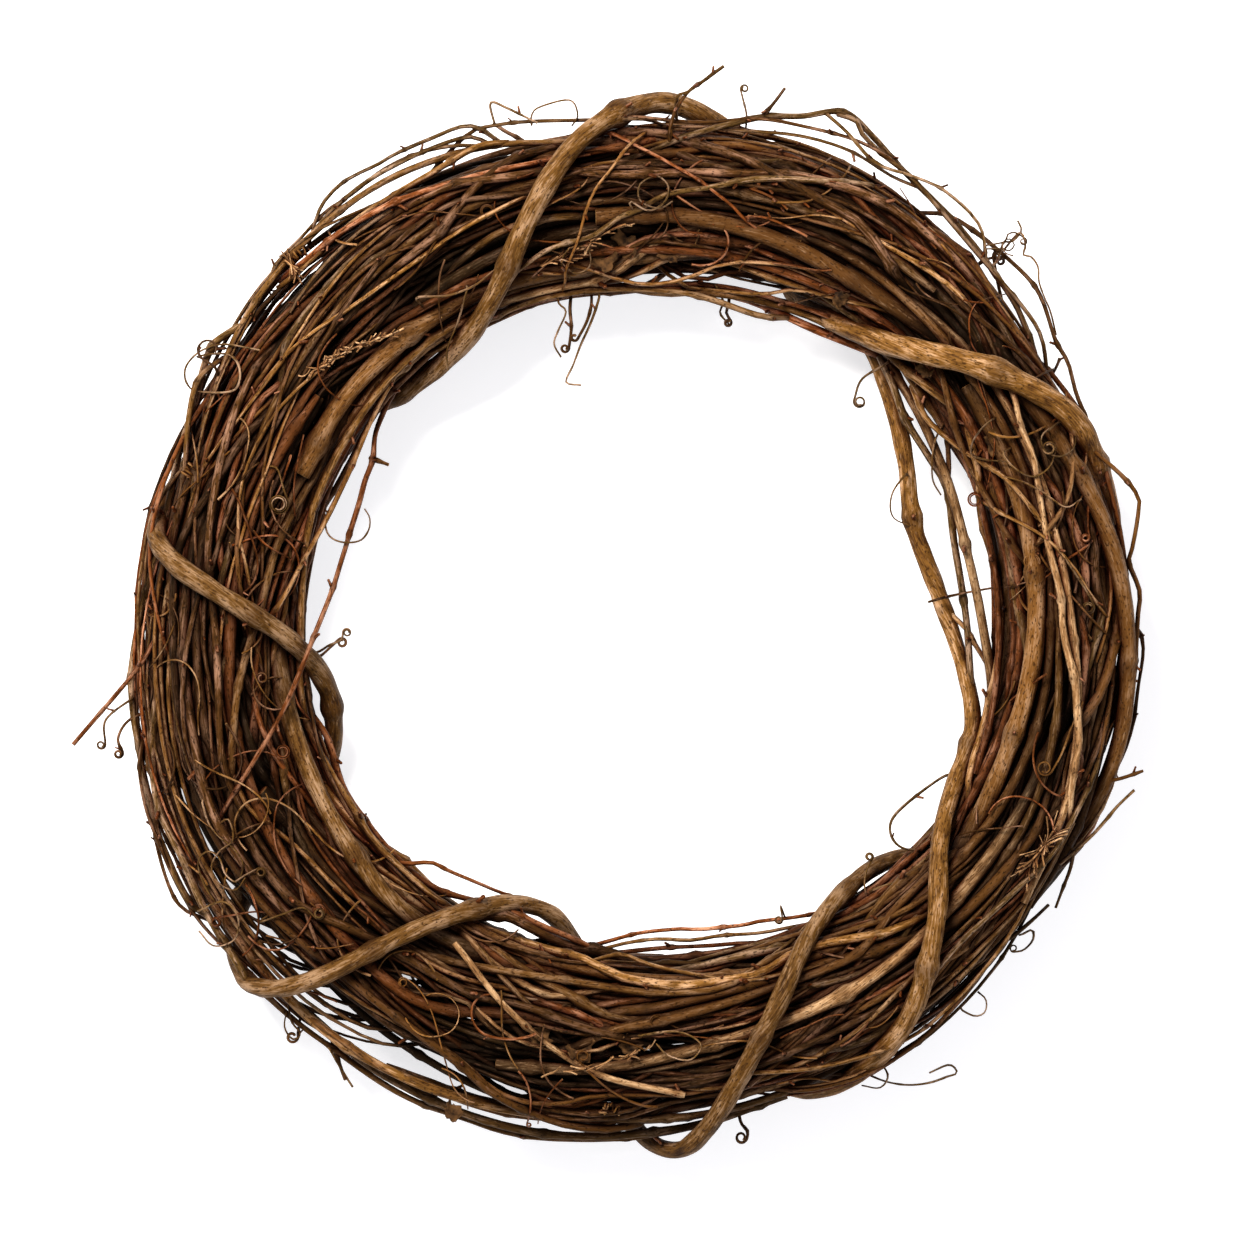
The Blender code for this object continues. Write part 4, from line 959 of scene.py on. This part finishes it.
# A few tendrils are wound round a cane in tight, uneven turns, and dried there.
WOUND_TENDRILS = (
    # radius, the winding's own radius and turns, and the places it runs between
    (0.5, 2.6, 5, ((290, 262), (306, 246))),
    (0.5, 2.6, 4, ((188, 478), (196, 464))),
    (0.42, 1.8, 4, ((1036, 520), (1044, 534))),
    (0.42, 1.9, 4, ((604, 1104), (620, 1109))),
)
tendrils = []
for i, (radius, size, turns, traced) in enumerate(WOUND_TENDRILS):
    rng = random.Random(800 + i)
    core = from_photo(traced, -0.5, 0.5, cane_hosts)
    aside = np.cross(np.gradient(core, axis=0), (0, 0, 1))
    aside /= np.linalg.norm(aside, axis=1)[:, None]
    share = np.linspace(0, 1, 12 * turns)
    bend = 2 * math.pi * turns * share + slow_wave(rng, 100 * share, 30, 1.4)
    wide = size * (1 + slow_wave(rng, 100 * share, 16, 0.3))
    core, aside = (rows_between(share, np.linspace(0, 1, len(core)), rows) for rows in (core, aside))
    line = core + (wide * np.cos(bend))[:, None] * aside + np.outer(wide * np.sin(bend), (0, 0, 1))
    tendrils.append(grow_tendril(line, radius, 1, rng, knots=60, swelling=0.2, lumps=0.15))
finish_canes("wound_tendrils", tendrils, "tan_bark")

# Shredded bark
# Where the outer bark has peeled off a cane its fibres stand out in a shaggy fringe, a few millimetres
# long and paler than the cane.

SHREDDED = (
    # fibres, their length, and the places that the cane runs through
    (90, 5, ((298, 383), (322, 369), (352, 352), (396, 335))),
    (34, 9, ((528, 272), (556, 262), (590, 244), (612, 232))),
    (46, 10, ((1052, 828), (1040, 846), (1030, 860))),
    (24, 6, ((284, 252), (296, 272))),
    (22, 6, ((545, 1070), (600, 1062), (650, 1045))),
)
fibres = []
for i, (count, length, traced) in enumerate(SHREDDED):
    rng = random.Random(850 + i)
    core = from_photo(traced, 0.5, 1, cane_hosts)[8:]
    for _ in range(count):
        place = rng.randrange(len(core) - 1)
        along = (core[place + 1] - core[place]) * rng.choice((-1, 1, 1))
        along /= np.linalg.norm(along)
        out = np.array((rng.gauss(0, 1), rng.gauss(0, 1), abs(rng.gauss(0, 0.8))))
        out -= 0.8 * along * np.dot(out, along)
        out /= np.linalg.norm(out)
        reach = length * rng.uniform(0.5, 1.3)
        fibre = [core[place] + reach * t * along + reach * rng.uniform(0.3, 0.6) * t * t * out
                 for t in (0, 0.3, 0.6, 1)]
        fibres.append(grow_cane(smooth_line(fibre, 1.6), rng.uniform(0.25, 0.5), TENDRIL_SECTION, rng,
                                knots=60, swelling=0, zigzag=0, ends=(1, 0.3)))
finish_canes("shredded_bark", fibres, "pale_bark")

# Dry leaf scraps
# Torn bits of last year's leaves and bark that stayed caught in the ring: thin, curled and brittle, with
# ragged edges and dark blotches.

leaf = bpy.data.materials.new("dry_grape_leaf")
leaf.use_nodes = True
leaf_tree = leaf.node_tree
leaf_shader = leaf_tree.nodes["Principled BSDF"]
leaf_places = add_node(leaf_tree, "ShaderNodeTexCoord", output="Object")
crumple = add_node(leaf_tree, "ShaderNodeTexNoise", {
    "Vector": leaf_places, "Scale": 260.0, "Detail": 5.0, "Roughness": 0.6})
leaf_colour = add_node(leaf_tree, "ShaderNodeValToRGB", {"Fac": crumple})
leaf_colours = ((0.35, "#160d07"), (0.68, "#54391f"))
for element, (place, code) in zip(leaf_colour.node.color_ramp.elements, leaf_colours):
    element.position = place
    element.color = linear(code)
leaf_tree.links.new(leaf_colour, leaf_shader.inputs["Base Color"])
leaf_shader.inputs["Roughness"].default_value = 0.8
leaf_shader.inputs["Specular IOR Level"].default_value = 0.05
leaf_bump = add_node(leaf_tree, "ShaderNodeBump", {"Height": crumple, "Strength": 0.8, "Distance": 0.0006})
leaf_tree.links.new(leaf_bump, leaf_shader.inputs["Normal"])

SCRAPS = (
    # photograph place, height, size, and turn
    ((543, 1037), 66, 7, 0.4), ((581, 1048), 67, 8, 2.1), ((629, 1042), 67, 7, 3.9),
    ((606, 1026), 65, 8, 5.2), ((566, 1020), 65, 9, 3.0), ((530, 1018), 64, 6, 4.0),
    ((626, 246), 62, 7, 1.0), ((669, 247), 62, 8, 2.7), ((690, 234), 63, 7, 4.4), ((606, 262), 62, 7, 1.9),
    ((838, 302), 66, 5, 2.4), ((924, 372), 62, 5, 1.1), ((455, 1112), 56, 6, 0.8),
    ((1068, 612), 64, 6, 1.3), ((1078, 640), 62, 7, 2.0), ((992, 445), 64, 6, 0.6),
)
SCRAP_THICKNESS = 0.0004
scraps = []
for i, (place, height, size, turn) in enumerate(SCRAPS):
    rng = random.Random(900 + i)
    bpy.ops.mesh.primitive_grid_add(x_subdivisions=12, y_subdivisions=10, size=2)
    scrap = bpy.context.object
    curl, twist = rng.uniform(0.9, 1.7), rng.uniform(-0.6, 0.6)
    waves = [rng.uniform(0, 6.28) for _ in range(4)]
    for corner in scrap.data.vertices:
        x, y, _ = corner.co
        around = math.atan2(y, x)
        edge = 1 + 0.18 * math.sin(5 * around + waves[0]) + 0.12 * math.sin(11 * around + waves[1])
        squeeze = edge * max(abs(x), abs(y)) / max(math.hypot(x, y), 0.01)
        x, y = x * squeeze * 0.62, y * squeeze
        bend = curl * y + twist * x
        corner.co = (x + 0.1 * math.sin(4 * y + waves[2]), math.sin(bend) / curl,
                     (1 - math.cos(bend)) / curl + 0.07 * math.sin(6 * x + waves[3]))
        corner.co *= size / 1000
    solid = scrap.modifiers.new("leaf_thickness", "SOLIDIFY")
    solid.thickness = SCRAP_THICKNESS
    bpy.ops.object.modifier_apply(modifier=solid.name)
    scrap.rotation_euler = (rng.uniform(-0.5, 0.5), rng.uniform(-0.4, 0.4), turn)
    flat = (np.array(place) - RING_PIXEL) * (PIXEL, -PIXEL)
    scrap.location = (np.array((*flat, height)) + RING_CENTRE) / 1000
    bpy.ops.object.transform_apply(location=True, rotation=True, scale=True)
    bpy.ops.object.shade_smooth()
    scraps.append(scrap)
select_only(scraps)
bpy.ops.object.join()
finish_piece("dry_leaf_scraps", leaf, "dark_bark")

# Buds and stubs
# At its nodes a cane keeps a dried bud or the stub of a side shoot: a short bent peg that swells towards
# its tip, as brown as the cane.

bpy.ops.mesh.primitive_cylinder_add(vertices=6, radius=0.8, depth=1.6, location=(0, 0, 0.4))
stub = bpy.context.object
stub.name = "stub"
bpy.ops.object.transform_apply(location=True)
for rise, lean, narrow in ((1.3, 0.35, 0.8), (1.0, 0.45, 1.15), (0.6, 0.2, 0.55)):
    bpy.ops.object.mode_set(mode="EDIT")
    bpy.ops.mesh.select_mode(type="FACE")
    bpy.ops.mesh.select_all(action="DESELECT")
    bpy.ops.object.mode_set(mode="OBJECT")
    max(stub.data.polygons, key=lambda face: face.center.z).select = True
    bpy.ops.object.mode_set(mode="EDIT")
    bpy.ops.mesh.extrude_region_move(TRANSFORM_OT_translate={"value": (lean, 0, rise)})
    bpy.ops.transform.resize(value=(narrow, narrow, 1))
    bpy.ops.object.mode_set(mode="OBJECT")
bpy.ops.object.shade_smooth()

STUBS = 420
rng = random.Random(77)
shown = [row for row in cane_nodes if row[2] > 0.7 and buried(row[0][None])[0] < 0.25
         and 30 < row[0][2] + row[2] < 80]
rng.shuffle(shown)
stubs = []
for place, along, size in shown[:STUBS]:
    copy = stub.copy()
    copy.data = stub.data.copy()
    bpy.context.scene.collection.objects.link(copy)
    around = Vector(along).orthogonal().normalized()
    side = Vector(along).cross(around)
    turn = rng.uniform(0, 2 * math.pi)
    out = math.cos(turn) * around + math.sin(turn) * side
    if out.z < -0.2:
        out = -out
    aim = (out + rng.choice((-0.8, 0.8)) * Vector(along)).normalized()
    big = (0.45 + 0.22 * min(size, 3)) * rng.uniform(0.7, 1.3)
    turned = np.array(aim.to_track_quat("Z", "X").to_matrix())
    root = np.array(Vector(place) + 0.75 * size * out)
    tint = 0.07 * rng.random()
    corners = np.array([corner.co for corner in copy.data.vertices]) * big
    nothing = np.zeros(len(corners))
    store_values(copy.data, {"grain": corners + rng.uniform(0, 500), "knot": nothing, "cut": nothing,
                             "tint": nothing + tint, "depth": nothing})
    corners = corners @ turned.T + root + RING_CENTRE
    copy.data.vertices.foreach_set("co", (corners / 1000).ravel())
    stubs.append(copy)
bpy.data.objects.remove(stub)
select_only(stubs)
bpy.ops.object.join()
finish_piece("buds_and_stubs", BARKS["red_brown_bark"], "red_brown_bark")

for section in (*THICK_SECTIONS, *CANE_SECTIONS, *FINE_SECTIONS, *THIN_SECTIONS, TENDRIL_SECTION):
    bpy.data.objects.remove(section)

# Floor, lights and camera
# A white sweep under soft daylight from the upper left, seen from straight above.

PHOTO_SIDE = 1254
PHOTO_ORIGIN = (603.5, 614)
PHOTO_SCALE = PIXEL / 1000
VIEW_DISTANCE = 3.5
VIEW_HEIGHT = 0.045
SENSOR = 36

bpy.ops.mesh.primitive_plane_add(size=6, location=(0, 0, 0))
floor = bpy.context.object
floor.name = "floor"
paper = bpy.data.materials.new("white_paper_sweep")
paper.use_nodes = True
paper_shader = paper.node_tree.nodes["Principled BSDF"]
paper_shader.inputs["Base Color"].default_value = linear("#cfcfcf")
paper_shader.inputs["Roughness"].default_value = 0.9
paper_shader.inputs["Emission Color"].default_value = linear("#fafafc")
paper_shader.inputs["Emission Strength"].default_value = 0.63
floor.data.materials.append(paper)

world = bpy.data.worlds.new("studio")
world.use_nodes = True
world.node_tree.nodes["Background"].inputs["Color"].default_value = linear("#fdfcff")
world.node_tree.nodes["Background"].inputs["Strength"].default_value = 0.55
bpy.context.scene.world = world


def soft_box(name, place, size, power, colour):
    """A square lamp that faces the wreath."""
    bpy.ops.object.light_add(type="AREA", location=place)
    lamp = bpy.context.object
    lamp.name = name
    lamp.data.shape = "SQUARE"
    lamp.data.size = size
    lamp.data.energy = power
    lamp.data.color = linear(colour)[:3]
    lamp.rotation_euler = (-Vector(place)).to_track_quat("-Z", "Y").to_euler()


soft_box("window", (-0.7, 1.1, 1.9), 0.75, 133, "#fffaf4")
soft_box("fill", (1.3, -0.9, 1.8), 1.6, 18, "#f8f8ff")

target = Vector(((PHOTO_SIDE / 2 - PHOTO_ORIGIN[0]) * PHOTO_SCALE,
                 (PHOTO_ORIGIN[1] - PHOTO_SIDE / 2) * PHOTO_SCALE, VIEW_HEIGHT))
bpy.ops.object.camera_add(location=target + Vector((0, 0, VIEW_DISTANCE)), rotation=(0, 0, 0))
camera = bpy.context.object
camera.data.sensor_width = SENSOR
camera.data.lens = SENSOR * VIEW_DISTANCE / (PHOTO_SIDE * PHOTO_SCALE)
bpy.context.scene.camera = camera
bpy.context.scene.view_settings.view_transform = "Standard"
